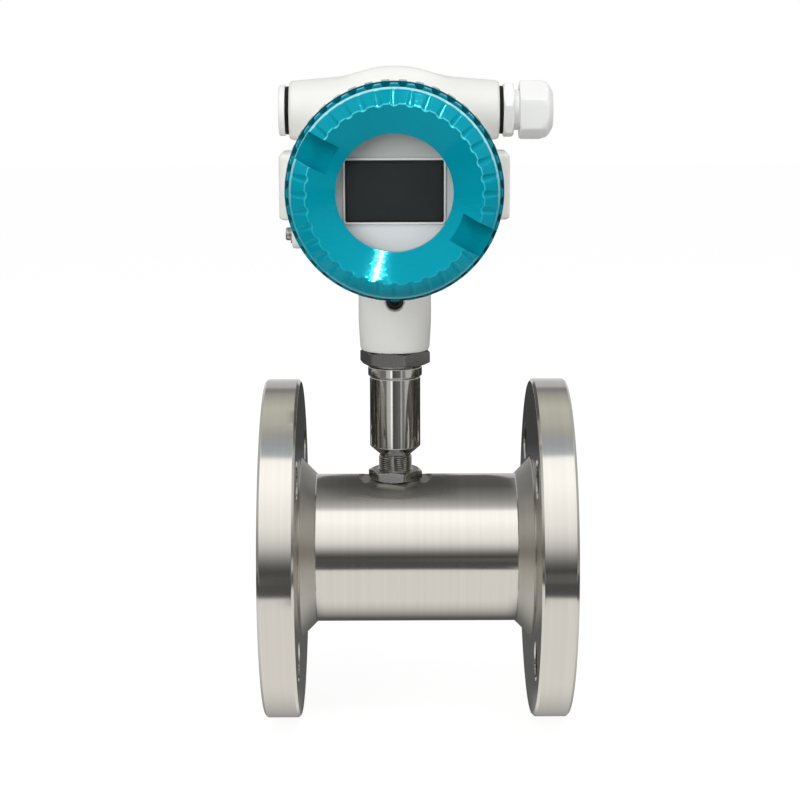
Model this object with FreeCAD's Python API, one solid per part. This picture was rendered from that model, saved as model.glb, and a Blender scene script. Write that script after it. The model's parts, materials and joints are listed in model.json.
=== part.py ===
import FreeCAD, Part
import math
import os

from FreeCAD import Placement, Rotation, Vector

# Flanged turbine flow meter with a two-compartment indicator head.
# Lengths are in millimetres and angles in degrees. The origin is the centre of the inlet face,
# +X runs with the flow, +Z runs up the stem, and the display looks along -Y.

# Fits
fit_gap = 0.02             # pieces pressed or screwed together for good
run_gap = 0.05             # pieces that turn or slide on each other
seal_gap = 0.1             # round a seal ring
free_gap = 0.3             # faces that pass each other
cut_past = 1.0             # how far a cut runs past the face it opens

# Flanges and body tube, for a 50 mm line
face_to_face = 150.0
flange_od = 165.0
flange_rim = 17.0
rim_chamfer = 1.2
raised_face_od = 102.0
raised_face_height = 2.0
bolt_circle = 125.0
bolt_holes = 4
bolt_hole_d = 18.0
hub_od = 88.0
hub_length = 8.0
hub_root_round = 3.0
tube_od = 72.0
pipe_bore = 50.0

# Rotor, guides and bearings; the rotor, the stem and the head share one upright line
rotor_x = 65.0
bore_step = 0.8            # shoulder in the bore that the vanes rest on
step_reach = 13.0          # from the rotor's middle to that shoulder
rotor_hub_d = 18.0
rotor_hub_width = 11.0
blade_count = 6
blade_width = 12.0
blade_thickness = 1.4
blade_twist = 20.0
tip_gap = 0.6
shaft_d = 3.0
bush_od = 8.0
bush_length = 12.0
thrust_pad_thickness = 1.5
guide_hub_gap = 1.5
vane_count = 4
vane_thickness = 1.6
vane_length = 28.0
ring_thickness = 1.4
ring_groove_depth = 1.2
ring_height = 3.4
ring_opening = 30.0

# Pickup stem
seat_d = 36.0
seat_depth = 1.5
pickup_thread_d = 16.0
pickup_floor = 2.0         # wall left between the pickup hole and the bore
pickup_thread_shown = 13.1
thread_relief_height = 1.6
thread_relief_depth = 0.6
stem_nut_flats = 23.0
stem_nut_height = 5.0
stem_nut_turn = 23.0
cone_height = 3.7
sleeve_od = 24.4
sleeve_length = 34.0
sleeve_wall = 2.5
sleeve_floor = 1.7
tip_wall = 1.2
tip_bore_d = 10.4
pole_d = 4.0
pole_stand = 2.0           # pole end above the bobbin
bobbin_wall = 1.2
magnet_d = 8.0
magnet_length = 6.0
magnet_headroom = 3.1      # magnet to the sleeve's chamber floor
board_thickness = 1.6
preamp_board_width = 16.8
preamp_headroom = 2.9      # board to the adapter's plug
preamp_chip = 5.0

# Stem adapter and head lock nut
adapter_plug = 6.3
adapter_band_od = 23.9
adapter_band = 0.6
collar_od = 26.0
collar_height = 4.6
spigot_d = 20.0
spigot_length = 30.5       # inside the neck
wire_bore_d = 14.0
neck_seal_section = 2.0
neck_seal_rise = 9.0
lock_groove_width = 9.0
lock_groove_depth = 1.5
head_nut_flats = 30.0
head_nut_height = 6.5
head_nut_lift = 1.2
head_nut_turn = 17.7

# Indicator housing
neck_shown = 31.5          # drum down to the foot of the neck
neck_foot_od = 33.2
neck_od = 34.8
neck_swell = 13.5          # foot to the widest place
neck_foot_round = 0.8
neck_blend = 50.0          # neck length that runs on into the drum
lock_screw_edge = 5.7      # lock screw's axis below the spigot's top
lock_screw_d = 8.0
lock_screw_length = 5.0
lock_well_d = 8.8
lock_well_sink = 1.0       # well floor behind the screw's face
chamber_d = 83.0
spigot_wall = 3.0          # round the chamber, under the covers
thread_length = 14.0
drum_shoulder = 3.0        # drum over the cover spigots
drum_half = 34.0
drum_rim = 5.0
drum_rim_step = 2.0
partition_thickness = 3.0
partition_offset = 10.0    # rear face of the partition, towards the display
crown_over = 3.5           # crown's radius over the drum's
crown_rise = 4.5
crown_half = 10.0          # crown lies between the cable entries
crown_shoulder = 3.0
crown_foot = 25.0          # the crown stands above this height over the head axis
pad_stand = 6.5            # side pads over the drum
pad_height = 31.0
pad_half = 17.0
pad_round = 3.0
entry_dip = 12.8           # entry axis below the drum's top
entry_back = 6.0
entry_stand = 2.1          # entry mouth beyond the drum
entry_thread_d = 20.0
entry_mouth_wall = 3.8
entry_root_flare = 3.2
entry_root = 12.0
entry_bore_start = 18.0
earth_drop = 23.3
earth_boss_d = 14.0
earth_boss_stand = 1.3
earth_screw_d = 4.0
earth_screw_depth = 8.0
earth_head_d = 6.2
earth_head_height = 2.4
earth_washer_d = 9.0
earth_washer_thickness = 0.6

# Covers
cover_clearance = 0.5      # cover edge to drum rim
grip_wall = 5.8            # grip over the thread
grip_step = 1.0            # front row below the rear row
grip_draft = 0.5           # each row tapers towards the display
grip_count = 40
grip_pocket_d = 4.2
grip_pocket_lift = 0.2
grip_rear_length = 9.5
grip_front_length = 8.5
grip_land = 0.6            # solid strip between the two rows of pockets
grip_edge = 0.8
band_step = 1.9
band_length = 2.4
band_chamfer = 1.6
rim_step = 0.9
crest_run = 6.3
crest_height = 5.0
flute_count = 36
flute_d = 4.0
flute_depth_crest = 1.2
flute_depth_rim = 0.3
slot_width = 13.5
slot_angle = 28.0
slot_land = 4.4            # window edge to the slot
slot_drop = 0.8            # slot floor below the rim
cover_wall = 4.0
cover_thread_gap = 0.15
seal_section = 2.2
seal_offset = 1.0
window_d = 53.2
lip_depth = 10.0
lip_thickness = 2.0
glass_edge = 3.4           # glass beyond the window
glass_thickness = 4.0
window_gasket_thickness = 0.6
window_gasket_edge = 0.5   # gasket and ring back from the window's edge
glass_ring_edge = 3.0      # ring beyond the glass
glass_ring_thickness = 2.2
glass_boss_wall = 3.6
dish_d = 60.0
dish_depth = 7.4

# Boards and display
spacer_edge = 4.5          # spacer's axis in from the board's edge
spacer_count = 4
spacer_d = 5.6
screw_d = 3.0
screw_head_d = 5.4
screw_head_height = 1.5
screw_bite = 1.6
board_clearance = 4.0      # board edge to chamber wall
main_board_rise = 9.0
display_plate_rise = 2.9
plate_clearance = 3.0      # display plate to chamber wall
display_clearance = 2.2    # display plate to the glass ring
display_plate_thickness = 2.0
bezel_width = 1.0
bezel_height = 0.8
lcd_width = 44.4
lcd_height = 27.6
lcd_gap = 0.3
lcd_back_width = 52.0
lcd_back_height = 36.0
lcd_sink = 0.3             # screen face below the bezel's edge

# Rear compartment
terminal_width = 56.0
terminal_height = 22.0
terminal_depth = 14.0
terminal_drop = 4.0
terminal_step = 6.0
terminal_count = 6
terminal_pitch = 8.6
terminal_well_d = 5.6
terminal_well_depth = 4.0
terminal_screw_d = 4.8
terminal_screw_height = 2.4
terminal_wire_d = 3.4
wire_bush_edge = 9.0       # bush's axis to the chamber wall
wire_bush_angle = -70.0
wire_bush_d = 10.0
wire_bush_flange_d = 13.0
wire_bush_flange = 1.4
wire_bush_bore = 6.0

# Cable gland and blind plug
gasket_width = 1.3
gasket_thickness = 1.9
gland_thread_length = 11.0
gland_hex_over = 2.0       # hexagon's flats over the thread
gland_hex_length = 5.0
gland_hex_turn = 20.0
gland_neck_wall = 2.0
gland_neck_length = 9.5
gland_bore_d = 13.6
gland_seat_step = 0.7
gland_seat_depth = 5.6
gland_seal_length = 7.4
cable_d = 10.4
gland_nut_gap = 2.8
gland_nut_turn = 8.0
gland_nut_wall = 2.8
gland_nut_grip = 10.0
gland_nut_length = 15.7
gland_nut_mouth_d = 12.6
gland_nut_face_d = 17.4
gland_nut_mouth = 3.4
gland_dome_bulge = 1.0
gland_dome_lift = 0.6
hex_chamfer = 0.9
plug_head_over = 2.0       # head over the thread
plug_head_height = 3.0
plug_head_round = 1.0
plug_thread_length = 10.5
plug_socket_flats = 10.0
plug_socket_depth = 2.2

# Diameters, worked out from the sizes above
thread_od = chamber_d + 2 * spigot_wall
drum_od = thread_od + 2 * drum_shoulder
drum_rim_od = drum_od + 2 * drum_rim_step
crown_od = drum_od + 2 * crown_over
pad_span = drum_od + 2 * pad_stand
entry_mouth_od = entry_thread_d + 2 * entry_mouth_wall
entry_root_od = entry_mouth_od + 2 * entry_root_flare
grip_od = thread_od + 2 * grip_wall
grip_front_od = grip_od - 2 * grip_step
band_od = grip_front_od - 2 * band_step
rim_od = band_od - 2 * rim_step
crest_od = rim_od - 2 * crest_run
glass_d = window_d + 2 * glass_edge
glass_ring_d = glass_d + 2 * glass_ring_edge
board_d = chamber_d - 2 * board_clearance
display_plate_d = chamber_d - 2 * plate_clearance
spacer_radius = board_d / 2 - spacer_edge
gasket_od = entry_thread_d + 2 * gasket_width
gland_hex_flats = entry_thread_d + 2 * gland_hex_over
gland_seat_d = gland_bore_d + 2 * gland_seat_step
gland_neck_d = gland_seat_d + 2 * gland_neck_wall
gland_nut_flats = gland_neck_d + 2 * gland_nut_wall
plug_head_d = entry_thread_d + 2 * plug_head_over

# Heights above the pipe axis, worked out from the sizes above
seat_z = tube_od / 2 - seat_depth
pickup_hole_z = pipe_bore / 2 + pickup_floor
tip_z = pickup_hole_z + free_gap
tip_floor_z = tip_z + tip_wall
thread_top_z = seat_z + pickup_thread_shown
cone_top_z = thread_top_z + cone_height
chamber_floor_z = cone_top_z + sleeve_floor
magnet_z = chamber_floor_z - magnet_headroom - magnet_length
bobbin_top_z = magnet_z - pole_stand
sleeve_top_z = cone_top_z + sleeve_length
band_top_z = sleeve_top_z + adapter_band
collar_top_z = band_top_z + collar_height
head_nut_z = collar_top_z + head_nut_lift
neck_foot_z = head_nut_z + head_nut_height + free_gap
spigot_top_z = neck_foot_z + spigot_length
lock_screw_z = spigot_top_z - lock_screw_edge
head_z = neck_foot_z + neck_shown + drum_od / 2
entry_z = head_z + drum_od / 2 - entry_dip

# Places along the head axis, counted from the stem towards the display
partition_front = partition_offset + partition_thickness
main_board_at = partition_front + main_board_rise
thread_end = drum_half + thread_length
cover_back = drum_half + cover_clearance
row_split = cover_back + grip_rear_length
grip_front_end = row_split + grip_front_length
rim_at = grip_front_end + band_length + band_chamfer
crest_at = rim_at + crest_height
lip_at = crest_at - lip_depth
window_seat = lip_at - lip_thickness
glass_front = window_seat - window_gasket_thickness
glass_back = glass_front - glass_thickness
glass_ring_back = glass_back - glass_ring_thickness
display_face = glass_ring_back - display_clearance
display_plate_at = display_face - display_plate_thickness
display_board_at = display_plate_at - display_plate_rise - board_thickness
slot_floor = rim_at - slot_drop
dish_at = crest_at - dish_depth

# Places along the cable entries, counted from the stem
entry_reach = drum_od / 2 + entry_stand
gasket_end = entry_reach + gasket_thickness
gland_hex_end = gasket_end + gland_hex_length
gland_neck_end = gland_hex_end + gland_neck_length
gland_nut_at = gland_hex_end + gland_nut_gap
gland_nut_end = gland_nut_at + gland_nut_length
earth_boss_reach = drum_od / 2 + earth_boss_stand

# Places along the rotor axis, counted from the rotor's middle
guide_start = rotor_hub_width / 2 + guide_hub_gap
bush_end = guide_start + bush_length
pad_end = bush_end + thrust_pad_thickness
vane_end = step_reach + vane_length
ring_at = vane_end + run_gap
nose_end = vane_end + rotor_hub_d / 2

flow = Vector(1, 0, 0)
up = Vector(0, 0, 1)
forward = Vector(0, -1, 0)


def frame_along(direction, x, y, z):
    return Placement(Vector(x, y, z), Rotation(up, direction))


inlet_frame = frame_along(flow, 0, 0, 0)
outlet_frame = frame_along(-flow, face_to_face, 0, 0)
downstream = frame_along(flow, rotor_x, 0, 0)
upstream = frame_along(-flow, rotor_x, 0, 0)
stem_frame = frame_along(up, rotor_x, 0, 0)
front_frame = frame_along(forward, rotor_x, 0, head_z)
rear_frame = frame_along(-forward, rotor_x, 0, head_z)
gland_frame = frame_along(flow, rotor_x, entry_back, entry_z)
plug_frame = frame_along(-flow, rotor_x, entry_back, entry_z)
earth_frame = frame_along(-flow, rotor_x, 0, head_z - earth_drop)
lock_frame = frame_along(forward, rotor_x, 0, lock_screw_z)
crown_frame = frame_along(forward, rotor_x, entry_back, head_z + crown_rise)
wire_bush_place = Rotation(up, wire_bush_angle).multVec(Vector(chamber_d / 2 - wire_bush_edge, 0, 0))


# Shapes are made along local Z and then set in a frame

def turned(profile):
    # Points are (radius, station); four numbers are an arc's middle and end
    first = Vector(profile[0][0], 0, profile[0][1])
    here = first
    edges = []
    for item in profile[1:]:
        there = Vector(item[-2], 0, item[-1])
        if len(item) == 4:
            middle = Vector(item[0], 0, item[1])
            edges.append(Part.Arc(here, middle, there).toShape())
        else:
            edges.append(Part.makeLine(here, there))
        here = there
    edges.append(Part.makeLine(here, first))
    solid = Part.Face(Part.Wire(edges)).revolve(Vector(0, 0, 0), up, 360)
    if solid.Volume < 0:
        solid.reverse()
    return solid


def rod(diameter, start, end):
    return Part.makeCylinder(diameter / 2, end - start, Vector(0, 0, start))


def ring(inner_d, outer_d, start, end):
    return rod(outer_d, start, end).cut(rod(inner_d, start, end))


def block(width, height, start, end, x=0.0, y=0.0):
    return Part.makeBox(width, height, end - start, Vector(x - width / 2, y - height / 2, start))


def hexagon(flats, start, end, turn=0.0):
    corner = flats / math.sqrt(3)
    points = []
    for k in range(7):
        angle = math.radians(turn + 60 * k)
        points.append(Vector(corner * math.cos(angle), corner * math.sin(angle), start))
    return Part.Face(Part.makePolygon(points)).extrude(Vector(0, 0, end - start))


def chamfered_hexagon(flats, start, end, turn=0.0):
    corner = flats / math.sqrt(3)
    edge_r = corner - 2 * hex_chamfer
    outline = [(0, start), (edge_r, start), (corner, start + hex_chamfer)]
    outline += [(corner, end - hex_chamfer), (edge_r, end), (0, end)]
    return hexagon(flats, start, end, turn).common(turned(outline))


def placed(shape, frame):
    moved = shape.copy()
    moved.Placement = frame.multiply(moved.Placement)
    return moved


def spaced_round(tool, count, first=0.0):
    copies = []
    for k in range(count):
        copy = tool.copy()
        copy.rotate(Vector(0, 0, 0), up, first + 360.0 * k / count)
        copies.append(copy)
    return Part.makeCompound(copies)


def fuse_all(first, others):
    return first.multiFuse(others).removeSplitter()


def circle_edges(shape, radius, station):
    found = []
    for edge in shape.Edges:
        if isinstance(edge.Curve, Part.Circle):
            at_station = abs(edge.Curve.Center.z - station) < 1e-6
            if at_station and abs(edge.Curve.Radius - radius) < 1e-6:
                found.append(edge)
    return found


# Flow tube

def flow_bore():
    bore_r = pipe_bore / 2
    groove_r = bore_r + ring_groove_depth
    measuring_r = bore_r - bore_step
    groove_end = ring_at + ring_thickness + run_gap
    profile = [(0, -cut_past), (bore_r, -cut_past)]
    profile += [(bore_r, rotor_x - groove_end), (groove_r, rotor_x - groove_end)]
    profile += [(groove_r, rotor_x - vane_end), (bore_r, rotor_x - vane_end)]
    profile += [(bore_r, rotor_x - step_reach), (measuring_r, rotor_x - step_reach)]
    profile += [(measuring_r, rotor_x + step_reach), (bore_r, rotor_x + step_reach)]
    profile += [(bore_r, rotor_x + vane_end), (groove_r, rotor_x + vane_end)]
    profile += [(groove_r, rotor_x + groove_end), (bore_r, rotor_x + groove_end)]
    profile += [(bore_r, face_to_face + cut_past), (0, face_to_face + cut_past)]
    return placed(turned(profile), inlet_frame)


def flange(frame):
    rim_r = flange_od / 2
    back = raised_face_height + flange_rim
    profile = [(0, 0), (raised_face_od / 2, 0), (raised_face_od / 2, raised_face_height)]
    profile += [(rim_r - rim_chamfer, raised_face_height), (rim_r, raised_face_height + rim_chamfer)]
    profile += [(rim_r, back - rim_chamfer), (rim_r - rim_chamfer, back)]
    profile += [(hub_od / 2, back), (tube_od / 2, back + hub_length), (0, back + hub_length)]
    solid = turned(profile)
    solid = solid.makeFillet(hub_root_round, circle_edges(solid, hub_od / 2, back))
    hole = rod(bolt_hole_d, -cut_past, back + hub_length)
    hole.translate(Vector(bolt_circle / 2, 0, 0))
    solid = solid.cut(spaced_round(hole, bolt_holes, 180.0 / bolt_holes))
    return placed(solid, frame).cut(flow_bore())


def body_tube():
    hub_end = raised_face_height + flange_rim + hub_length
    tube = placed(rod(tube_od, hub_end, face_to_face - hub_end), inlet_frame)
    seat = placed(rod(seat_d, seat_z, seat_z + tube_od), stem_frame)
    hole = placed(rod(pickup_thread_d + 2 * run_gap, pickup_hole_z, seat_z + cut_past), stem_frame)
    return tube.cut(flow_bore()).cut(seat).cut(hole)


def guide(frame):
    hub_r = rotor_hub_d / 2
    nose_mid = hub_r * math.sqrt(0.5)
    profile = [(0, guide_start), (hub_r, guide_start), (hub_r, vane_end)]
    profile += [(nose_mid, vane_end + nose_mid, 0, nose_end)]
    hub = turned(profile)
    vane_tip_d = pipe_bore - 2 * run_gap
    vane = block(vane_tip_d, vane_thickness, step_reach + run_gap, vane_end, vane_tip_d / 2)
    vanes = spaced_round(vane, vane_count, 180.0 / vane_count)
    solid = fuse_all(hub, vanes.Solids).common(rod(vane_tip_d, guide_start, nose_end))
    solid = solid.cut(rod(bush_od + 2 * fit_gap, guide_start - cut_past, pad_end))
    return placed(solid, frame)


def bearing_bush(frame):
    return placed(ring(shaft_d + 2 * run_gap, bush_od, guide_start, bush_end), frame)


def thrust_pad(frame):
    return placed(rod(bush_od, bush_end, pad_end), frame)


def retaining_ring(frame):
    outer_d = pipe_bore + 2 * (ring_groove_depth - run_gap)
    ring_end = ring_at + ring_thickness
    whole = ring(outer_d - 2 * ring_height, outer_d, ring_at, ring_end)
    gap_width = pipe_bore / 2 * math.radians(ring_opening)
    opening = block(outer_d, gap_width, ring_at - cut_past, ring_end + cut_past, outer_d / 2)
    return placed(whole.cut(opening), frame)


def blade_section(station):
    angle = blade_twist * station / blade_width
    inner = rotor_hub_d / 2 - 1
    outer = pipe_bore / 2 + 1
    half = blade_thickness / 2
    corners = [(inner, -half), (outer, -half), (outer, half), (inner, half), (inner, -half)]
    wire = Part.makePolygon([Vector(r, t, station) for r, t in corners])
    wire.rotate(Vector(0, 0, 0), up, angle)
    return wire


def rotor():
    tip_d = pipe_bore - 2 * (bore_step + tip_gap)
    half_blade = blade_width / 2
    sections = [blade_section(station) for station in (-half_blade, 0, half_blade)]
    blade = Part.makeLoft(sections, True, False)
    hub = rod(rotor_hub_d, -rotor_hub_width / 2, rotor_hub_width / 2)
    blades = spaced_round(blade, blade_count)
    wheel = fuse_all(hub, blades.Solids).common(rod(tip_d, -half_blade, half_blade))
    wheel = wheel.cut(rod(shaft_d + 2 * fit_gap, -blade_width, blade_width))
    return placed(wheel, downstream)


def rotor_shaft():
    reach = bush_end - run_gap
    return placed(rod(shaft_d, -reach, reach), downstream)


# Pickup stem

def pickup_sleeve():
    thread_r = pickup_thread_d / 2
    relief_r = thread_r - thread_relief_depth
    sleeve_r = sleeve_od / 2
    bore_r = sleeve_r - sleeve_wall
    tip_r = tip_bore_d / 2
    relief_z = thread_top_z - thread_relief_height
    profile = [(0, tip_z), (thread_r, tip_z), (thread_r, relief_z), (relief_r, relief_z)]
    profile += [(relief_r, thread_top_z), (thread_r, thread_top_z), (sleeve_r, cone_top_z)]
    profile += [(sleeve_r, sleeve_top_z), (bore_r, sleeve_top_z), (bore_r, chamber_floor_z)]
    profile += [(tip_r, chamber_floor_z), (tip_r, tip_floor_z), (0, tip_floor_z)]
    return placed(turned(profile), stem_frame)


def hex_nut(flats, start, height, turn, bore_d):
    end = start + height
    nut = chamfered_hexagon(flats, start, end, turn)
    return placed(nut.cut(rod(bore_d + 2 * run_gap, start - cut_past, end + cut_past)), stem_frame)


def pole_piece():
    return placed(rod(pole_d, tip_floor_z + run_gap, magnet_z), stem_frame)


def coil_bobbin():
    foot = tip_floor_z + run_gap
    top = bobbin_top_z
    flange_d = tip_bore_d - 2 * run_gap
    core_d = pole_d + 2 * (bobbin_wall + fit_gap)
    winding = ring(core_d, flange_d + cut_past, foot + bobbin_wall, top - bobbin_wall)
    spool = rod(flange_d, foot, top).cut(winding)
    return placed(spool.cut(rod(pole_d + 2 * fit_gap, foot - cut_past, top + cut_past)), stem_frame)


def pickup_coil():
    foot = tip_floor_z + run_gap + bobbin_wall + fit_gap
    top = bobbin_top_z - bobbin_wall - fit_gap
    core_d = pole_d + 2 * (bobbin_wall + 2 * fit_gap)
    return placed(ring(core_d, tip_bore_d - 4 * run_gap, foot, top), stem_frame)


def pickup_magnet():
    return placed(rod(magnet_d, magnet_z, magnet_z + magnet_length), stem_frame)


def preamplifier_board():
    foot = chamber_floor_z + run_gap
    top = sleeve_top_z - adapter_plug - preamp_headroom
    board = block(preamp_board_width, board_thickness, foot, top)
    chip_foot = (foot + top) / 2
    chip = block(preamp_chip, board_thickness, chip_foot, chip_foot + preamp_chip, 0, board_thickness)
    return placed(fuse_all(board, [chip]), stem_frame)


def stem_adapter():
    bore_r = wire_bore_d / 2
    plug_r = sleeve_od / 2 - sleeve_wall - fit_gap
    spigot_r = spigot_d / 2
    seal_r = spigot_r - neck_seal_section + run_gap
    seal_foot = neck_foot_z + neck_seal_rise
    seal_top = seal_foot + neck_seal_section + 2 * run_gap
    lock_r = spigot_r - lock_groove_depth
    lock_foot = lock_screw_z - lock_groove_width / 2
    lock_top = lock_screw_z + lock_groove_width / 2
    profile = [(bore_r, sleeve_top_z - adapter_plug), (plug_r, sleeve_top_z - adapter_plug)]
    profile += [(plug_r, sleeve_top_z), (adapter_band_od / 2, sleeve_top_z)]
    profile += [(adapter_band_od / 2, band_top_z), (collar_od / 2, band_top_z)]
    profile += [(collar_od / 2, collar_top_z), (spigot_r, collar_top_z)]
    profile += [(spigot_r, seal_foot), (seal_r, seal_foot), (seal_r, seal_top), (spigot_r, seal_top)]
    profile += [(spigot_r, lock_foot), (lock_r, lock_foot), (lock_r, lock_top), (spigot_r, lock_top)]
    profile += [(spigot_r, spigot_top_z), (bore_r, spigot_top_z)]
    return placed(turned(profile), stem_frame)


def neck_seal():
    section_r = neck_seal_section / 2 - run_gap
    middle_r = spigot_d / 2 - neck_seal_section / 2 + run_gap
    centre = Vector(0, 0, neck_foot_z + neck_seal_rise + neck_seal_section / 2 + run_gap)
    return placed(Part.makeTorus(middle_r, section_r, centre), stem_frame)


# Indicator housing

def neck_form():
    foot_r = neck_foot_od / 2
    swell_z = neck_foot_z + neck_swell
    profile = [(0, neck_foot_z), (foot_r - neck_foot_round, neck_foot_z)]
    profile += [(foot_r, neck_foot_z + neck_foot_round), (neck_od / 2, swell_z)]
    profile += [(neck_od / 2, neck_foot_z + neck_blend), (0, neck_foot_z + neck_blend)]
    return placed(turned(profile), stem_frame)


def drum_form():
    thread_r = thread_od / 2
    rim_r = drum_rim_od / 2
    drum_r = drum_od / 2
    rim_back = drum_half - drum_rim
    fade = rim_back - (rim_r - drum_r)
    profile = [(0, -thread_end), (thread_r, -thread_end), (thread_r, -drum_half), (rim_r, -drum_half)]
    profile += [(rim_r, -rim_back), (drum_r, -fade), (drum_r, fade), (rim_r, rim_back)]
    profile += [(rim_r, drum_half), (thread_r, drum_half), (thread_r, thread_end), (0, thread_end)]
    return placed(turned(profile), front_frame)


def crown_form():
    crown_r = crown_od / 2
    inner = crown_half - crown_shoulder
    profile = [(0, -crown_half), (crown_r - crown_shoulder, -crown_half), (crown_r, -inner)]
    profile += [(crown_r, inner), (crown_r - crown_shoulder, crown_half), (0, crown_half)]
    whole = placed(turned(profile), crown_frame)
    above = block(crown_od, 2 * crown_half, head_z + crown_foot, head_z + crown_od, 0, entry_back)
    return whole.common(placed(above, stem_frame))


def pad_form():
    pads = block(pad_height, 2 * pad_half, -pad_span / 2, pad_span / 2)
    uprights = [edge for edge in pads.Edges if abs(edge.tangentAt(edge.FirstParameter).z) > 0.9]
    pads = pads.makeFillet(pad_round, uprights)
    return placed(pads, frame_along(flow, rotor_x, 0, head_z))


def entry_form(frame):
    profile = [(0, entry_root), (entry_root_od / 2, entry_root)]
    profile += [(entry_mouth_od / 2, entry_reach), (0, entry_reach)]
    return placed(turned(profile), frame)


def housing():
    earth_boss = placed(rod(earth_boss_d, drum_od / 4, earth_boss_reach), earth_frame)
    forms = [neck_form(), crown_form(), pad_form(), entry_form(gland_frame), entry_form(plug_frame)]
    body = fuse_all(drum_form(), forms + [earth_boss])
    front_chamber = placed(rod(chamber_d, partition_front, thread_end + cut_past), front_frame)
    rear_chamber = placed(rod(chamber_d, -partition_offset, thread_end + cut_past), rear_frame)
    neck_bore = placed(rod(spigot_d + 2 * run_gap, neck_foot_z - cut_past, head_z - drum_od / 4), stem_frame)
    entry_bore = rod(entry_thread_d + 2 * run_gap, entry_bore_start, entry_reach + cut_past)
    earth_hole_start = earth_boss_reach - earth_screw_depth - cut_past
    earth_hole = rod(earth_screw_d + 2 * fit_gap, earth_hole_start, earth_boss_reach + cut_past)
    lock_hole = rod(lock_screw_d + 2 * fit_gap, 0, neck_od)
    lock_well = rod(lock_well_d, spigot_d / 2 + lock_screw_length - lock_well_sink, neck_od)
    screw_hole_start = partition_front - screw_bite - free_gap
    screw_hole = rod(screw_d + 2 * fit_gap, screw_hole_start, partition_front + cut_past)
    screw_hole.translate(Vector(spacer_radius, 0, 0))
    bush_hole = rod(wire_bush_d + 2 * fit_gap, 0, partition_front + cut_past)
    bush_hole.translate(wire_bush_place)
    cuts = [front_chamber, rear_chamber, neck_bore]
    cuts += [placed(entry_bore, gland_frame), placed(entry_bore, plug_frame)]
    cuts += [placed(earth_hole, earth_frame), placed(lock_hole, lock_frame), placed(lock_well, lock_frame)]
    screw_holes = spaced_round(screw_hole, spacer_count, 180.0 / spacer_count)
    cuts += [placed(screw_holes, front_frame), placed(bush_hole, front_frame)]
    for tool in cuts:
        body = body.cut(tool)
    return body.removeSplitter()


def neck_set_screw():
    tip = spigot_d / 2 - lock_groove_depth + free_gap
    end = tip + lock_screw_length
    socket = hexagon(lock_screw_d / 2, end - lock_screw_d / 3, end + cut_past)
    return placed(rod(lock_screw_d, tip, end).cut(socket), lock_frame)


def earth_washer():
    inner_d = earth_screw_d + 4 * fit_gap
    start = earth_boss_reach
    return placed(ring(inner_d, earth_washer_d, start, start + earth_washer_thickness), earth_frame)


def earth_screw():
    head_foot = earth_boss_reach + earth_washer_thickness
    head_r = earth_head_d / 2
    head_top = head_foot + earth_head_height
    shank_r = earth_screw_d / 2
    profile = [(0, earth_boss_reach - earth_screw_depth), (shank_r, earth_boss_reach - earth_screw_depth)]
    profile += [(shank_r, head_foot), (head_r, head_foot), (head_r, head_top - head_r / 4)]
    profile += [(head_r * 0.9, head_top - head_r / 12, head_r / 2, head_top), (0, head_top)]
    slot = block(earth_head_d, earth_head_height / 3, head_top - earth_head_height / 2, head_top + cut_past)
    return placed(turned(profile).cut(slot), earth_frame)


# Covers, described from the head axis outwards to the crest

def grip_outline():
    grip_r = grip_od / 2
    points = [(thread_od / 2 + cover_thread_gap, cover_back), (grip_r - grip_edge, cover_back)]
    front_r = grip_front_od / 2
    points += [(grip_r, cover_back + grip_edge), (grip_r - grip_draft, row_split)]
    points += [(front_r, row_split), (front_r - grip_draft, grip_front_end)]
    points += [(band_od / 2, grip_front_end), (band_od / 2, grip_front_end + band_length)]
    points += [(rim_od / 2, rim_at), (crest_od / 2, crest_at)]
    return points


def seal_groove_outline():
    thread_r = thread_od / 2 + cover_thread_gap
    groove_r = thread_od / 2 + seal_section + 2 * seal_gap
    groove_start = cover_back + seal_offset
    groove_end = groove_start + seal_section + 2 * seal_gap
    groove = [(thread_r, groove_end), (groove_r, groove_end)]
    return groove + [(groove_r, groove_start), (thread_r, groove_start)]


def grip_pockets():
    lift = grip_pocket_lift
    rear = rod(grip_pocket_d, cover_back - cut_past, row_split - grip_land / 2)
    rear.translate(Vector(grip_od / 2 + lift, 0, 0))
    front = rod(grip_pocket_d, row_split + grip_land / 2, grip_front_end + cut_past)
    front.translate(Vector(grip_front_od / 2 + lift, 0, 0))
    half_pitch = 180.0 / grip_count
    return [spaced_round(rear, grip_count), spaced_round(front, grip_count, half_pitch)]


def crest_flutes():
    run = (rim_od - crest_od) / 2
    slope = math.hypot(run, crest_height)
    outward = Vector(crest_height / slope, 0, run / slope)
    at_crest = Vector(crest_od / 2, 0, crest_at) + outward * (flute_d / 2 - flute_depth_crest)
    at_rim = Vector(rim_od / 2, 0, rim_at) + outward * (flute_d / 2 - flute_depth_rim)
    along = at_rim - at_crest
    start = at_crest - along * 0.5
    tool = Part.makeCylinder(flute_d / 2, along.Length * 2, start, along)
    return spaced_round(tool, flute_count)


def wrench_slots():
    slot_start = window_d / 2 + slot_land
    reach = grip_od - slot_start
    slot = block(reach, slot_width, slot_floor, crest_at + cut_past, slot_start + reach / 2)
    return spaced_round(slot, 2, -slot_angle)


def finished_cover(profile, frame):
    blank = turned(profile)
    for tool in grip_pockets() + [crest_flutes(), wrench_slots()]:
        blank = blank.cut(tool)
    return placed(blank, frame)


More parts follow.
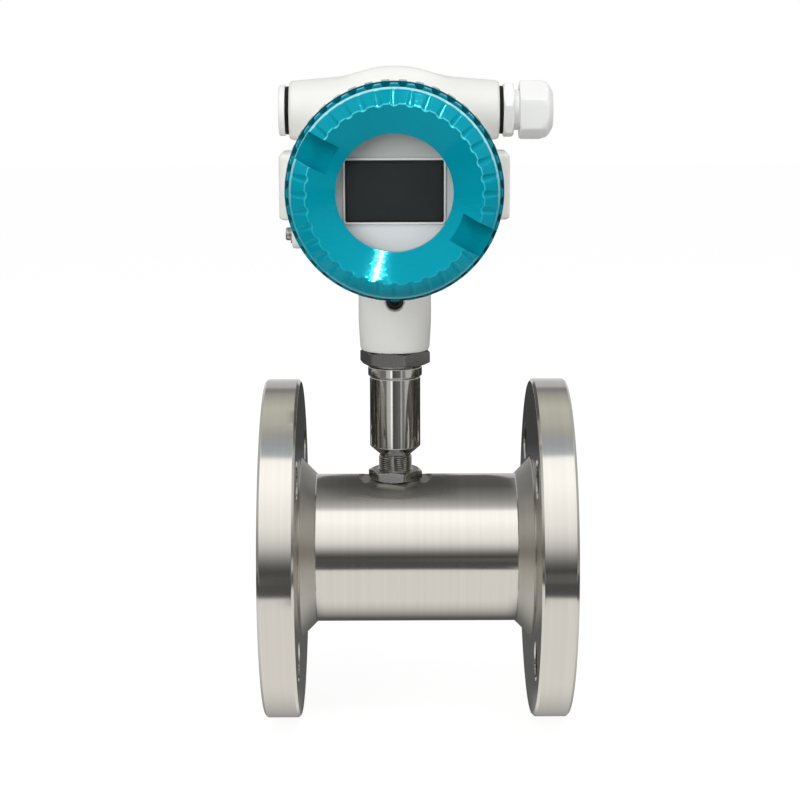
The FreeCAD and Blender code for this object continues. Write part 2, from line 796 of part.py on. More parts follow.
def front_cover():
    glass_r = glass_d / 2 + run_gap
    ring_r = glass_ring_d / 2 + run_gap
    boss_r = ring_r + glass_boss_wall
    core_at = slot_floor - cover_wall
    profile = grip_outline() + [(window_d / 2, lip_at), (window_d / 2, window_seat)]
    profile += [(glass_r, window_seat), (glass_r, glass_back), (ring_r, glass_back)]
    profile += [(ring_r, glass_ring_back), (boss_r, glass_ring_back), (boss_r, core_at)]
    profile += [(thread_od / 2 + cover_thread_gap, core_at)] + seal_groove_outline()
    return finished_cover(profile, front_frame)


def rear_cover():
    core_at = dish_at - cover_wall
    profile = grip_outline() + [(dish_d / 2, dish_at), (0, dish_at), (0, core_at)]
    profile += [(thread_od / 2 + cover_thread_gap, core_at)] + seal_groove_outline()
    return finished_cover(profile, rear_frame)


def cover_seal(frame):
    middle_r = thread_od / 2 + seal_gap + seal_section / 2
    middle = cover_back + seal_offset + seal_gap + seal_section / 2
    return placed(Part.makeTorus(middle_r, seal_section / 2, Vector(0, 0, middle)), frame)


def window_gasket():
    return placed(ring(window_d + 2 * window_gasket_edge, glass_d, glass_front, window_seat), front_frame)


def window_glass():
    return placed(rod(glass_d, glass_back, glass_front), front_frame)


def window_retaining_ring():
    inner_d = window_d + 2 * window_gasket_edge
    return placed(ring(inner_d, glass_ring_d, glass_ring_back, glass_back), front_frame)


# Boards and display

def display_holes(start, end):
    hole = rod(screw_d + 2 * fit_gap, start - cut_past, end + cut_past)
    hole.translate(Vector(spacer_radius, 0, 0))
    return spaced_round(hole, spacer_count, 180.0 / spacer_count)


def round_board(start):
    board = rod(board_d, start, start + board_thickness)
    return placed(board.cut(display_holes(start, start + board_thickness)), front_frame)


def board_spacers():
    stages = [(partition_front, main_board_at)]
    stages += [(main_board_at + board_thickness, display_board_at)]
    stages += [(display_board_at + board_thickness, display_plate_at)]
    spacers = []
    for start, end in stages:
        spacer = ring(screw_d + 2 * fit_gap, spacer_d, start, end)
        spacer.translate(Vector(spacer_radius, 0, 0))
        spacers += spaced_round(spacer, spacer_count, 180.0 / spacer_count).Solids
    return placed(Part.makeCompound(spacers), front_frame)


def display_screws():
    foot = partition_front - screw_bite
    shank = rod(screw_d, foot, display_face)
    head = rod(screw_head_d, display_face, display_face + screw_head_height)
    screw = fuse_all(shank, [head])
    screw.translate(Vector(spacer_radius, 0, 0))
    return placed(spaced_round(screw, spacer_count, 180.0 / spacer_count), front_frame)


def display_plate():
    opening_width = lcd_width + 2 * lcd_gap
    opening_height = lcd_height + 2 * lcd_gap
    plate = rod(display_plate_d, display_plate_at, display_face)
    bezel_top = display_face + bezel_height
    bezel_size = (opening_width + 2 * bezel_width, opening_height + 2 * bezel_width)
    bezel = block(*bezel_size, display_plate_at, bezel_top)
    opening = block(opening_width, opening_height, display_plate_at - cut_past, bezel_top + cut_past)
    plate = fuse_all(plate, [bezel]).cut(opening)
    return placed(plate.cut(display_holes(display_plate_at, display_face)), front_frame)


def lcd_panel():
    back_at = display_board_at + board_thickness
    back = block(lcd_back_width, lcd_back_height, back_at, display_plate_at - run_gap)
    screen = block(lcd_width, lcd_height, back_at, display_face + bezel_height - lcd_sink)
    return placed(fuse_all(back, [screen]), front_frame)


# Rear compartment, described from the partition towards the rear cover

def terminal_wells(diameter, start, end):
    wells = []
    first = -terminal_pitch * (terminal_count - 1) / 2
    for k in range(terminal_count):
        well = rod(diameter, start, end)
        well.translate(Vector(first + terminal_pitch * k, terminal_drop + terminal_height / 4, 0))
        wells.append(well)
    return Part.makeCompound(wells)


def terminal_block():
    start = -partition_offset
    top = start + terminal_depth
    body = block(terminal_width, terminal_height, start, top, 0, terminal_drop)
    ledge_y = terminal_drop - terminal_height / 2
    ledge = block(terminal_width, terminal_height / 2, top - terminal_step, top + cut_past, 0, ledge_y)
    body = body.cut(ledge).cut(terminal_wells(terminal_well_d, top - terminal_well_depth, top + cut_past))
    entries = []
    first = -terminal_pitch * (terminal_count - 1) / 2
    for k in range(terminal_count):
        entry = rod(terminal_wire_d, -terminal_height, terminal_height)
        entry.rotate(Vector(0, 0, 0), Vector(1, 0, 0), 90)
        entry.translate(Vector(first + terminal_pitch * k, -terminal_height, top - terminal_step / 2))
        entries.append(entry)
    return placed(body.cut(Part.makeCompound(entries)), rear_frame)


def terminal_screws():
    floor = terminal_depth - partition_offset - terminal_well_depth
    slot_depth = terminal_screw_height / 2
    screws = []
    for screw in terminal_wells(terminal_screw_d, floor, floor + terminal_screw_height).Solids:
        middle = screw.CenterOfMass
        top = floor + terminal_screw_height
        slot = block(terminal_screw_d, slot_depth / 2, top - slot_depth, top + cut_past, middle.x, middle.y)
        screws.append(screw.cut(slot))
    return placed(Part.makeCompound(screws), rear_frame)


def wire_bush():
    start = partition_offset - wire_bush_flange
    flange_disc = rod(wire_bush_flange_d, start, partition_offset)
    body = fuse_all(rod(wire_bush_d, start, partition_front), [flange_disc])
    bush = body.cut(rod(wire_bush_bore, start - cut_past, partition_front + cut_past))
    bush.translate(wire_bush_place)
    return placed(bush, front_frame)


# Cable gland and blind plug

def entry_gasket(frame):
    return placed(ring(entry_thread_d + 2 * seal_gap, gasket_od, entry_reach, gasket_end), frame)


def gland_body():
    thread_r = entry_thread_d / 2
    start = entry_reach - gland_thread_length
    profile = [(0, start), (thread_r, start), (thread_r, gland_hex_end), (0, gland_hex_end)]
    hexagonal = chamfered_hexagon(gland_hex_flats, gasket_end, gland_hex_end, gland_hex_turn)
    neck = rod(gland_neck_d, gland_hex_end, gland_neck_end)
    body = fuse_all(turned(profile), [hexagonal, neck])
    body = body.cut(rod(gland_bore_d, start - cut_past, gland_neck_end + cut_past))
    body = body.cut(rod(gland_seat_d, gland_neck_end - gland_seat_depth, gland_neck_end + cut_past))
    return placed(body, gland_frame)


def gland_seal():
    start = gland_neck_end - gland_seat_depth + free_gap
    end = start + gland_seal_length
    outer_r = gland_seat_d / 2 - seal_gap
    bore_r = cable_d / 2
    profile = [(bore_r, start), (outer_r, start), (outer_r, gland_neck_end)]
    profile += [((outer_r + bore_r) / 2, end), (bore_r, end)]
    return placed(turned(profile), gland_frame)


def gland_nut():
    face_r = gland_nut_face_d / 2
    corner = gland_nut_flats / math.sqrt(3)
    grip_end = gland_nut_at + gland_nut_grip
    mouth_at = gland_nut_end - gland_nut_mouth
    edge_r = corner - hex_chamfer
    outline = [(0, gland_nut_at), (edge_r, gland_nut_at), (corner, gland_nut_at + hex_chamfer)]
    bulge_r = (corner + face_r) / 2 + gland_dome_bulge
    bulge_at = (grip_end + gland_nut_end) / 2 + gland_dome_lift
    outline += [(corner, grip_end), (bulge_r, bulge_at)]
    outline += [(face_r, gland_nut_end), (0, gland_nut_end)]
    nut = hexagon(gland_nut_flats, gland_nut_at, gland_nut_end, gland_nut_turn)
    dome = nut.common(turned(outline))
    thread_r = gland_neck_d / 2 + run_gap
    inside = [(0, gland_nut_at - cut_past), (thread_r, gland_nut_at - cut_past)]
    inside += [(thread_r, gland_neck_end + free_gap)]
    inside += [(gland_nut_mouth_d / 2, mouth_at), (gland_nut_mouth_d / 2, gland_nut_end + cut_past)]
    inside += [(0, gland_nut_end + cut_past)]
    return placed(dome.cut(turned(inside)), gland_frame)


def blind_plug():
    thread_r = entry_thread_d / 2
    head_r = plug_head_d / 2
    start = entry_reach - plug_thread_length
    head_top = gasket_end + plug_head_height
    round_mid = plug_head_round * (1 - math.sqrt(0.5))
    profile = [(0, start), (thread_r, start), (thread_r, gasket_end), (head_r, gasket_end)]
    profile += [(head_r, head_top - plug_head_round)]
    profile += [(head_r - round_mid, head_top - round_mid, head_r - plug_head_round, head_top)]
    profile += [(0, head_top)]
    socket = hexagon(plug_socket_flats, head_top - plug_socket_depth, head_top + cut_past)
    return placed(turned(profile).cut(socket), plug_frame)


pieces = {
    "inlet_flange": flange(inlet_frame),
    "outlet_flange": flange(outlet_frame),
    "body_tube": body_tube(),
    "inlet_guide": guide(upstream),
    "outlet_guide": guide(downstream),
    "inlet_bearing_bush": bearing_bush(upstream),
    "outlet_bearing_bush": bearing_bush(downstream),
    "inlet_thrust_pad": thrust_pad(upstream),
    "outlet_thrust_pad": thrust_pad(downstream),
    "inlet_retaining_ring": retaining_ring(upstream),
    "outlet_retaining_ring": retaining_ring(downstream),
    "rotor": rotor(),
    "rotor_shaft": rotor_shaft(),
    "pickup_sleeve": pickup_sleeve(),
    "stem_lock_nut": hex_nut(stem_nut_flats, seat_z, stem_nut_height, stem_nut_turn, pickup_thread_d),
    "pole_piece": pole_piece(),
    "coil_bobbin": coil_bobbin(),
    "pickup_coil": pickup_coil(),
    "pickup_magnet": pickup_magnet(),
    "preamplifier_board": preamplifier_board(),
    "stem_adapter": stem_adapter(),
    "head_lock_nut": hex_nut(head_nut_flats, head_nut_z, head_nut_height, head_nut_turn, spigot_d),
    "neck_seal": neck_seal(),
    "housing": housing(),
    "neck_set_screw": neck_set_screw(),
    "earth_washer": earth_washer(),
    "earth_screw": earth_screw(),
    "front_cover": front_cover(),
    "front_cover_seal": cover_seal(front_frame),
    "window_gasket": window_gasket(),
    "window_glass": window_glass(),
    "window_retaining_ring": window_retaining_ring(),
    "rear_cover": rear_cover(),
    "rear_cover_seal": cover_seal(rear_frame),
    "main_board": round_board(main_board_at),
    "display_board": round_board(display_board_at),
    "board_spacers": board_spacers(),
    "display_screws": display_screws(),
    "display_plate": display_plate(),
    "lcd_panel": lcd_panel(),
    "terminal_block": terminal_block(),
    "terminal_screws": terminal_screws(),
    "wire_bush": wire_bush(),
    "gland_gasket": entry_gasket(gland_frame),
    "gland_body": gland_body(),
    "gland_seal": gland_seal(),
    "gland_nut": gland_nut(),
    "plug_gasket": entry_gasket(plug_frame),
    "blind_plug": blind_plug(),
}

os.makedirs("parts", exist_ok=True)
for name, shape in pieces.items():
    solids = shape.Solids
    piece = solids[0] if len(solids) == 1 else Part.makeCompound(solids)
    piece.exportStep(os.path.join("parts", name + ".step"))
    print(name, len(solids), round(piece.Volume), piece.isValid())
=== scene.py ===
import json
import math

import bmesh
import bpy
from mathutils import Matrix, Vector

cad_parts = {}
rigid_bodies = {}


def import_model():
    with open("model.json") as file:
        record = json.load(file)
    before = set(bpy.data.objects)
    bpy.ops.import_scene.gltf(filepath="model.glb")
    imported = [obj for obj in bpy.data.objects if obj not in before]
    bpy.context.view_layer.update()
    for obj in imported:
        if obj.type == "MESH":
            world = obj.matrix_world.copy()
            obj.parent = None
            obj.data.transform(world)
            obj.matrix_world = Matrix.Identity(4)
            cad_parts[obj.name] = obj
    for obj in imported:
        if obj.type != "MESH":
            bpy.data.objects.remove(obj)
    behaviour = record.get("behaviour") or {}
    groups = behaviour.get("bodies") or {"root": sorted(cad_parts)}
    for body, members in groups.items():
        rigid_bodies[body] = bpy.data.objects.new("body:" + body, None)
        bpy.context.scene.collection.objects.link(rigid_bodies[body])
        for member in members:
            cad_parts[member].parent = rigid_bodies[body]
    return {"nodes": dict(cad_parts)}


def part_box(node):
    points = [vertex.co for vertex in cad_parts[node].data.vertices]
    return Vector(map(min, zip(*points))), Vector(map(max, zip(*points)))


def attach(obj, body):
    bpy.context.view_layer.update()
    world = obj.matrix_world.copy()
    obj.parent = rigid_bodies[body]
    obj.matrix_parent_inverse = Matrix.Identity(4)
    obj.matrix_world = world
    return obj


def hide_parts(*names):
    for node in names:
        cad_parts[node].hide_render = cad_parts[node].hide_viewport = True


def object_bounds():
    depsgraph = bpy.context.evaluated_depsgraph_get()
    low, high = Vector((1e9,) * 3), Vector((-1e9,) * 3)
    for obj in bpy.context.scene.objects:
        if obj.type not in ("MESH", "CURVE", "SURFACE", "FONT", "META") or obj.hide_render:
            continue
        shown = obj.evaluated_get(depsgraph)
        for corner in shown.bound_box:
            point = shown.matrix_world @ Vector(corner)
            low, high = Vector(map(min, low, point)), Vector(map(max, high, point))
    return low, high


for spare in list(bpy.data.objects):
    bpy.data.objects.remove(spare)      # start-up cube, lamp and camera

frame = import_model()
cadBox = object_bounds()
print("frame loaded with", len(frame["nodes"]), "nodes")

# Shapes are worked out in millimetres and scaled to metres when a piece is settled
mm = 0.001


def nodeBox(name):
    low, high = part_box(name)
    return low / mm, high / mm


def along(direction, x, y, z):
    turn = Vector((0, 0, 1)).rotation_difference(Vector(direction))
    return Matrix.Translation((x, y, z)) @ turn.to_matrix().to_4x4()


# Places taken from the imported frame
outletLow, outletHigh = nodeBox("outlet_flange")
tubeLow, tubeHigh = nodeBox("body_tube")
sleeveLow, sleeveHigh = nodeBox("pickup_sleeve")
adapterLow, adapterHigh = nodeBox("stem_adapter")
stemNutLow, stemNutHigh = nodeBox("stem_lock_nut")
headNutLow, headNutHigh = nodeBox("head_lock_nut")
housingLow, housingHigh = nodeBox("housing")
coverLow, coverHigh = nodeBox("front_cover")
lockLow, lockHigh = nodeBox("neck_set_screw")
earthLow, earthHigh = nodeBox("earth_washer")
gasketLow, gasketHigh = nodeBox("gland_gasket")
glandLow, glandHigh = nodeBox("gland_body")
glandNutLow, glandNutHigh = nodeBox("gland_nut")
plugLow, plugHigh = nodeBox("blind_plug")

flow = (1, 0, 0)
against = (-1, 0, 0)
forward = (0, -1, 0)
tubeMiddle = (tubeLow.x + tubeHigh.x) / 2
tubeRadius = (tubeHigh.y - tubeLow.y) / 2
stemX = (sleeveLow.x + sleeveHigh.x) / 2
headZ = (coverLow.z + coverHigh.z) / 2
entryY = (gasketLow.y + gasketHigh.y) / 2
entryZ = (gasketLow.z + gasketHigh.z) / 2
lockZ = (lockLow.z + lockHigh.z) / 2
earthZ = (earthLow.z + earthHigh.z) / 2
entryReach = gasketLow.x - stemX

inletFrame = along(flow, 0, 0, 0)
outletFrame = along(against, outletHigh.x, 0, 0)
stemFrame = along((0, 0, 1), stemX, 0, 0)
frontFrame = along(forward, stemX, 0, headZ)
rearFrame = along((0, 1, 0), stemX, 0, headZ)
glandFrame = along(flow, stemX, entryY, entryZ)
plugFrame = along(against, stemX, entryY, entryZ)
earthFrame = along(against, stemX, 0, earthZ)
lockFrame = along(forward, stemX, 0, lockZ)


# Node maths: a link is a socket that takes part in expressions
class Link:
    def __init__(self, tree, socket=None):
        self.tree = tree
        self.socket = socket

    def node(self, kind, settings=None, values=None, out=0):
        made = self.tree.nodes.new(kind)
        for name, value in (settings or {}).items():
            if name == "stops":
                elements = made.color_ramp.elements
                while len(elements) < len(value):
                    elements.new(1.0)
                for element, (position, level) in zip(elements, value):
                    element.position = position
                    element.color = (*level, 1) if isinstance(level, tuple) else (level, level, level, 1)
            else:
                setattr(made, name, value)
        for key, value in (values or {}).items():
            for part in value if isinstance(value, list) else [value]:
                if isinstance(part, Link):
                    self.tree.links.new(part.socket, made.inputs[key])
                else:
                    made.inputs[key].default_value = part
        if out is None:
            return made
        if isinstance(out, tuple):
            return [Link(self.tree, made.outputs[key]) for key in out]
        return Link(self.tree, made.outputs[out])

    def maths(self, operation, *others):
        return self.node("ShaderNodeMath", {"operation": operation}, dict(enumerate((self, *others))))

    def __add__(self, other):
        return self.maths("ADD", other)

    def __sub__(self, other):
        return self.maths("SUBTRACT", other)

    def __rsub__(self, other):
        return self.node("ShaderNodeMath", {"operation": "SUBTRACT"}, {0: other, 1: self})

    def __mul__(self, other):
        return self.maths("MULTIPLY", other)

    def __truediv__(self, other):
        return self.maths("DIVIDE", other)

    def __rtruediv__(self, other):
        return self.node("ShaderNodeMath", {"operation": "DIVIDE"}, {0: other, 1: self})

    def __neg__(self):
        return self.maths("MULTIPLY", -1.0)

    def __abs__(self):
        return self.maths("ABSOLUTE")

    __radd__ = __add__
    __rmul__ = __mul__


def most(link, other):
    return link.maths("MAXIMUM", other)


def least(link, other):
    return link.maths("MINIMUM", other)


def clamp(link, high=1.0):
    return least(most(link, 0.0), high)


def length2(a, b):
    return (a * a + b * b).maths("SQRT")


def smoothStep(value, low, high):
    places = {0: value, 1: low, 2: high, 3: 0.0, 4: 1.0}
    return value.node("ShaderNodeMapRange", {"interpolation_type": "SMOOTHSTEP"}, places)


def smoothFall(value, low, high):
    return 1 - smoothStep(value, low, high)


def mixColor(factor, first, second):
    values = {0: factor, 6: first, 7: second}
    return factor.node("ShaderNodeMix", {"data_type": "RGBA"}, values, out=2)


def rgb(r, g, b):
    return (r, g, b, 1.0)


def shade(color, share):
    return rgb(*[share * level for level in color[:3]])


# Mesh helpers
def solid(name, verts, faces):
    mesh = bpy.data.meshes.new(name)
    mesh.from_pydata(verts, [], faces)
    piece = bpy.data.objects.new(name, mesh)
    bpy.context.scene.collection.objects.link(piece)
    closeShell(mesh)
    return piece


def closeShell(mesh, gap=0.0005):
    work = bmesh.new()
    work.from_mesh(mesh)
    bmesh.ops.remove_doubles(work, verts=work.verts, dist=gap)
    bmesh.ops.recalc_face_normals(work, faces=work.faces)
    work.to_mesh(mesh)
    work.free()


def steps(count):
    return [k / count for k in range(count + 1)]


def roundOutline(outline, closed, arcSteps):
    # Corners are (radius, station) with a rounding radius where there is one
    count = len(outline)
    points = []
    for i, corner in enumerate(outline):
        here = Vector(corner[:2])
        atEnd = not closed and i in (0, count - 1)
        if len(corner) < 3 or atEnd:
            points.append(here)
            continue
        before = Vector(outline[i - 1][:2]) - here
        after = Vector(outline[(i + 1) % count][:2]) - here
        half = before.angle(after) / 2
        room = 0.49 * min(before.length, after.length)       # two roundings on one side never meet
        reach = min(corner[2] / math.tan(half), room)
        before.normalize()
        after.normalize()
        centre = here + (before + after).normalized() * reach / math.cos(half)
        start = here + before * reach - centre
        stop = here + after * reach - centre
        points += [centre + start.slerp(stop, t).normalized() * start.length for t in steps(arcSteps)]
    return points


def evenAngles(count):
    return [2 * math.pi * k / count for k in range(count)]


def ringFaces(rings, closed):
    faces = []
    following = rings[1:] + rings[:1] if closed else rings[1:]
    for low, high in zip(rings, following):
        count = max(len(low), len(high))
        for k in range(count):
            n = (k + 1) % count
            quad = [low[k % len(low)], low[n % len(low)], high[n % len(high)], high[k % len(high)]]
            corners = list(dict.fromkeys(quad))
            if len(corners) > 2:
                faces.append(corners)
    return faces


def revolve(name, rows, angles, closed=False, turn=0.0):
    # Rows are (radius, station); one with flats too follows the hexagon inside its radius
    sixth = math.pi / 3
    verts = []
    rings = []
    for radius, s, *flats in rows:
        if radius < 1e-6:
            rings.append([len(verts)])
            verts.append((0, 0, s))
            continue
        rings.append(list(range(len(verts), len(verts) + len(angles))))
        for a in angles:
            r = min(radius, flats[0] / 2 / math.cos(a % sixth - sixth / 2)) if flats else radius
            verts.append((r * math.cos(a + turn), r * math.sin(a + turn), s))
    return solid(name, verts, ringFaces(rings, closed))


def lathe(name, outline, angles, closed=False):
    return revolve(name, roundOutline(outline, closed, 4), angles, closed)


leastCorner = 0.05        # a slab keeps at least this rounding


def slab(name, width, height, corner, rows, closed=False):
    # Rows are (inset, station) of a rounded rectangle
    verts = []
    rings = []
    for inset, s in rows:
        radius = max(corner - inset, leastCorner)
        ringStart = len(verts)
        for quarter, (signX, signY) in enumerate(((1, 1), (-1, 1), (-1, -1), (1, -1))):
            cx = signX * (width / 2 - inset - radius)
            cy = signY * (height / 2 - inset - radius)
            for t in steps(5):
                a = math.pi / 2 * (quarter + t)
                verts.append((cx + radius * math.cos(a), cy + radius * math.sin(a), s))
        rings.append(list(range(ringStart, len(verts))))
    faces = ringFaces(rings, closed)
    if not closed:
        faces += [rings[0][::-1], rings[-1]]
    return solid(name, verts, faces)


def bake(piece):
    graph = bpy.context.evaluated_depsgraph_get()
    mesh = bpy.data.meshes.new_from_object(piece.evaluated_get(graph))
    piece.modifiers.clear()
    piece.data = mesh


def carve(piece, cutter):
    modifier = piece.modifiers.new("carve", "BOOLEAN")
    modifier.object = cutter
    modifier.solver = "EXACT"
    bake(piece)
    bpy.data.objects.remove(cutter)


def move(piece, place):
    piece.data.transform(place)
    return piece


def settle(piece, body, slot, *nodes, finish=None, crease=32, flatten=True):
    # Scales the piece to metres, shades it and hands it to its body
    mesh = move(piece, Matrix.Scale(mm, 4)).data
    mesh.shade_smooth()
    mesh.set_sharp_from_angle(angle=math.radians(crease))
    if flatten:
        piece.modifiers.new("flatten", "WEIGHTED_NORMAL").keep_sharp = True
        bake(piece)
        mesh = piece.data
    mesh.materials.clear()
    mesh.materials.append(finishes[finish or slot])
    mesh.polygons.foreach_set("material_index", [0] * len(mesh.polygons))
    mesh.name = piece.name
    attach(piece, body)
    if nodes:
        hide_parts(*nodes)


# Geometry rules: one input socket for each size in a settings dictionary
def newRule(name, labels, helper=None):
    tree = bpy.data.node_groups.new(name, "GeometryNodeTree")
    tree.interface.new_socket("Geometry", in_out="INPUT", socket_type="NodeSocketGeometry")
    for label in labels:
        tree.interface.new_socket(label, in_out="INPUT", socket_type="NodeSocketFloat")
    if helper:
        tree.interface.new_socket(helper, in_out="INPUT", socket_type="NodeSocketObject")
    tree.interface.new_socket("Material", in_out="INPUT", socket_type="NodeSocketMaterial")
    tree.interface.new_socket("Geometry", in_out="OUTPUT", socket_type="NodeSocketGeometry")
    entry = Link(tree).node("NodeGroupInput", out=None)
    return tree, {socket.name: Link(tree, socket) for socket in entry.outputs if socket.name}


def endRule(tree, sizes, shape):
    whole = shape.node("GeometryNodeRealizeInstances", values={"Geometry": shape})
    painted = whole.node("GeometryNodeSetMaterial", values={"Geometry": whole, "Material": sizes["Material"]})
    painted.node("NodeGroupOutput", values={0: painted}, out=None)
    return tree


def follow(piece, tree, settings, slot, helper=None):
    modifier = piece.modifiers.new(tree.name, "NODES")
    modifier.node_group = tree
    for item in tree.interface.items_tree:
        if item.in_out == "OUTPUT":
            continue
        if item.name in settings:
            modifier[item.identifier] = float(settings[item.name])
        elif item.socket_type == "NodeSocketMaterial":
            modifier[item.identifier] = finishes[slot]
        elif item.socket_type == "NodeSocketObject":
            modifier[item.identifier] = helper
    bake(piece)
    if helper:
        bpy.data.objects.remove(helper)
    closeShell(piece.data)


def spread(start, x, y, z, scale):
    # Moves each point of the piece out or in by its own scale
    moved = start.node("ShaderNodeCombineXYZ", values={"X": x * scale, "Y": y * scale, "Z": z})
    return start.node("GeometryNodeSetPosition", values={"Geometry": start, "Position": moved})


def turned(shape, angle):
    spin = shape.node("ShaderNodeCombineXYZ", values={"Z": angle})
    return shape.node("GeometryNodeTransform", values={"Geometry": shape, "Rotation": spin})


def without(shape, tools):
    values = {"Mesh 1": shape, "Mesh 2": tools}
    return shape.node("GeometryNodeMeshBoolean", {"operation": "DIFFERENCE"}, values)


def mark(piece, name, rule):
    # Stores a weight for each vertex, worked out from its radius and station
    layer = piece.data.attributes.new(name, "FLOAT", "POINT")
    weights = [rule(math.hypot(v.co.x, v.co.y), v.co.z) for v in piece.data.vertices]
    layer.data.foreach_set("value", weights)


def weight(link, name):
    return link.node("GeometryNodeInputNamedAttribute", {"data_type": "FLOAT"}, {"Name": name})


# Finishes
socketNames = {"color": "Base Color", "coat": "Coat Weight", "coatRoughness": "Coat Roughness",
               "specular": "Specular IOR Level", "tint": "Specular Tint"}


def socketName(key):
    return socketNames.get(key, key.capitalize())


def objectSpot(start):
    # Place on the object in millimetres
    spot = start.node("ShaderNodeTexCoord", out="Object")
    return spot.node("ShaderNodeVectorMath", {"operation": "SCALE"}, {0: spot, "Scale": 1 / mm})


def newFinish(name, **constants):
    material = bpy.data.materials.new(name)
    material.use_nodes = True
    shader = material.node_tree.nodes["Principled BSDF"]
    for key, value in constants.items():
        shader.inputs[socketName(key)].default_value = value
    return material, shader, objectSpot(Link(material.node_tree))


def feed(shader, **links):
    for key, link in links.items():
        link.tree.links.new(link.socket, shader.inputs[socketName(key)])


def axes(spot):
    return spot.node("ShaderNodeSeparateXYZ", values={0: spot}, out=("X", "Y", "Z"))


def noise(spot, scale, detail=2.0):
    return spot.node("ShaderNodeTexNoise", values={"Vector": spot, "Scale": scale, "Detail": detail})


def noiseLine(station, scale, detail=2.0):
    values = {"W": station, "Scale": scale, "Detail": detail}
    return station.node("ShaderNodeTexNoise", {"noise_dimensions": "1D"}, values)


def bump(height, strength, depth):
    values = {"Height": height, "Strength": strength, "Distance": depth * mm}
    return height.node("ShaderNodeBump", values=values)


# Zones of a finish are (start, end) of the stretch over which it comes in or goes out
tubeFinish = {
    "tone": rgb(0.655, 0.63, 0.58),
    "roughness": 0.12,
    # Colour of the painted shade round the seat and of the painted dark reflection on the hubs' tops
    "stainAndPaintedShade": rgb(0.17, 0.165, 0.15),
    "seatHeight": (27.5, 32.0),
    "seatRadius": (36.2, 37.0),
    "seatReach": (22.0, 34.0),      # from the stem
    "seatDull": 0.2,
    "seatPaintedShade": 0.56,
    "hubRadius": (36.2, 36.6),
    "hubReach": (55.6, 56.0),       # from the tube's middle
    "hubHeight": (20.0, 37.0),
    "hubDull": 0.23,
    "hubTopPaintedReflection": 0.62,
}
stemFinish = {
    "tone": rgb(0.62, 0.605, 0.575),
    "roughness": 0.09,
    # Colour of the painted shade over the thread and the downward-facing cone
    "threadShade": rgb(0.3, 0.295, 0.285),
    "threadShadeTop": (50.7, 51.1),
    "crests": (7.75, 7.95),
    "crestSpared": 0.8,
    "coneFoot": (47.4, 47.8),
}


def latheMarks(f, spot, station, radius):
    # Fine and broad marks run round the axis, with a faint smear over them
    path = station + radius
    fine = noiseLine(path, 2.6, 3.0)
    broad = noiseLine(path, 0.32)
    smear = noise(spot, 0.03, 3.0)
    tone = mixColor(fine * 0.5 + broad * 0.5, shade(f["tone"], 0.86), f["tone"])
    rough = f["roughness"] - 0.04 + fine * 0.05 + smear * 0.04
    return tone, rough, bump(fine * 0.6 + broad * 0.4, 0.2, 0.02)


def tubeSteel(f):
    # Dulled round the pickup's seat and on the hubs, with painted shade round the seat and a painted dark
    # reflection on the hubs' tops
    material, shader, spot = newFinish("turnedStainless", color=f["tone"], metallic=1.0)
    x, y, z = axes(spot)
    radius = length2(y, z)
    tone, rough, marks = latheMarks(f, spot, x, radius)
    seat = smoothStep(z, *f["seatHeight"]) * smoothFall(radius, *f["seatRadius"])
    seat = seat * smoothFall(abs(x - stemX), *f["seatReach"])
    hub = smoothStep(radius, *f["hubRadius"]) * smoothFall(abs(x - tubeMiddle), *f["hubReach"])
    # Painted shade round the seat and a painted dark reflection on the tops of the hubs
    stainAndPaintedShade = f["seatPaintedShade"] * seat + f["hubTopPaintedReflection"] * hub * smoothStep(z, *f["hubHeight"])
    rough = rough + f["seatDull"] * seat + f["hubDull"] * hub
    feed(shader, color=mixColor(stainAndPaintedShade, tone, f["stainAndPaintedShade"]), roughness=rough, normal=marks)
    return material


def stemSteel(f):
    # Painted shade over the thread and up to the end of the cone, which faces down; the thread's crests get
    # less of it
    material, shader, spot = newFinish("turnedStem", color=f["tone"], metallic=1.0)
    x, y, z = axes(spot)
    radius = length2(x - stemX, y)
    tone, rough, marks = latheMarks(f, spot, z, radius)
    # Painted shade over the thread and the cone, less on the thread's crests
    below = smoothFall(z, *f["threadShadeTop"])
    thread = below * (1 - f["crestSpared"] * smoothStep(radius, *f["crests"]))
    threadShaded = most(thread, below * smoothStep(z, *f["coneFoot"]))
    feed(shader, color=mixColor(threadShaded, tone, f["threadShade"]), roughness=rough, normal=marks)
    return material


def milledSteel(name, color, roughness):
    # Short straight marks and a light stain, for flats and small hardware
    material, shader, spot = newFinish(name, color=color, metallic=1.0)
    x, y, z = axes(spot)
    scratch = noiseLine(z + 0.35 * x + 0.2 * y, 3.1, 3.0)
    stainAndPaintedShade = noise(spot, 0.12, 3.0)
    tone = mixColor(scratch * 0.4 + stainAndPaintedShade * 0.6, shade(color, 0.72), color)
    rough = roughness - 0.08 + scratch * 0.08 + stainAndPaintedShade * 0.1
    feed(shader, color=tone, roughness=rough, normal=bump(scratch, 0.18, 0.02))
    return material


def enamel(name, color, dark, roughness, coat, peel):
    # Sprayed paint: slow drift of tone, fine orange peel
    material, shader, spot = newFinish(name, color=color, roughness=roughness, coat=coat, coatRoughness=0.06)
    grain = noise(spot, 1.1)
    tone = mixColor(noise(spot, 0.035), dark, color)
    feed(shader, color=tone, roughness=roughness - 0.05 + grain * 0.1, normal=bump(grain, peel, 0.05))
    return material


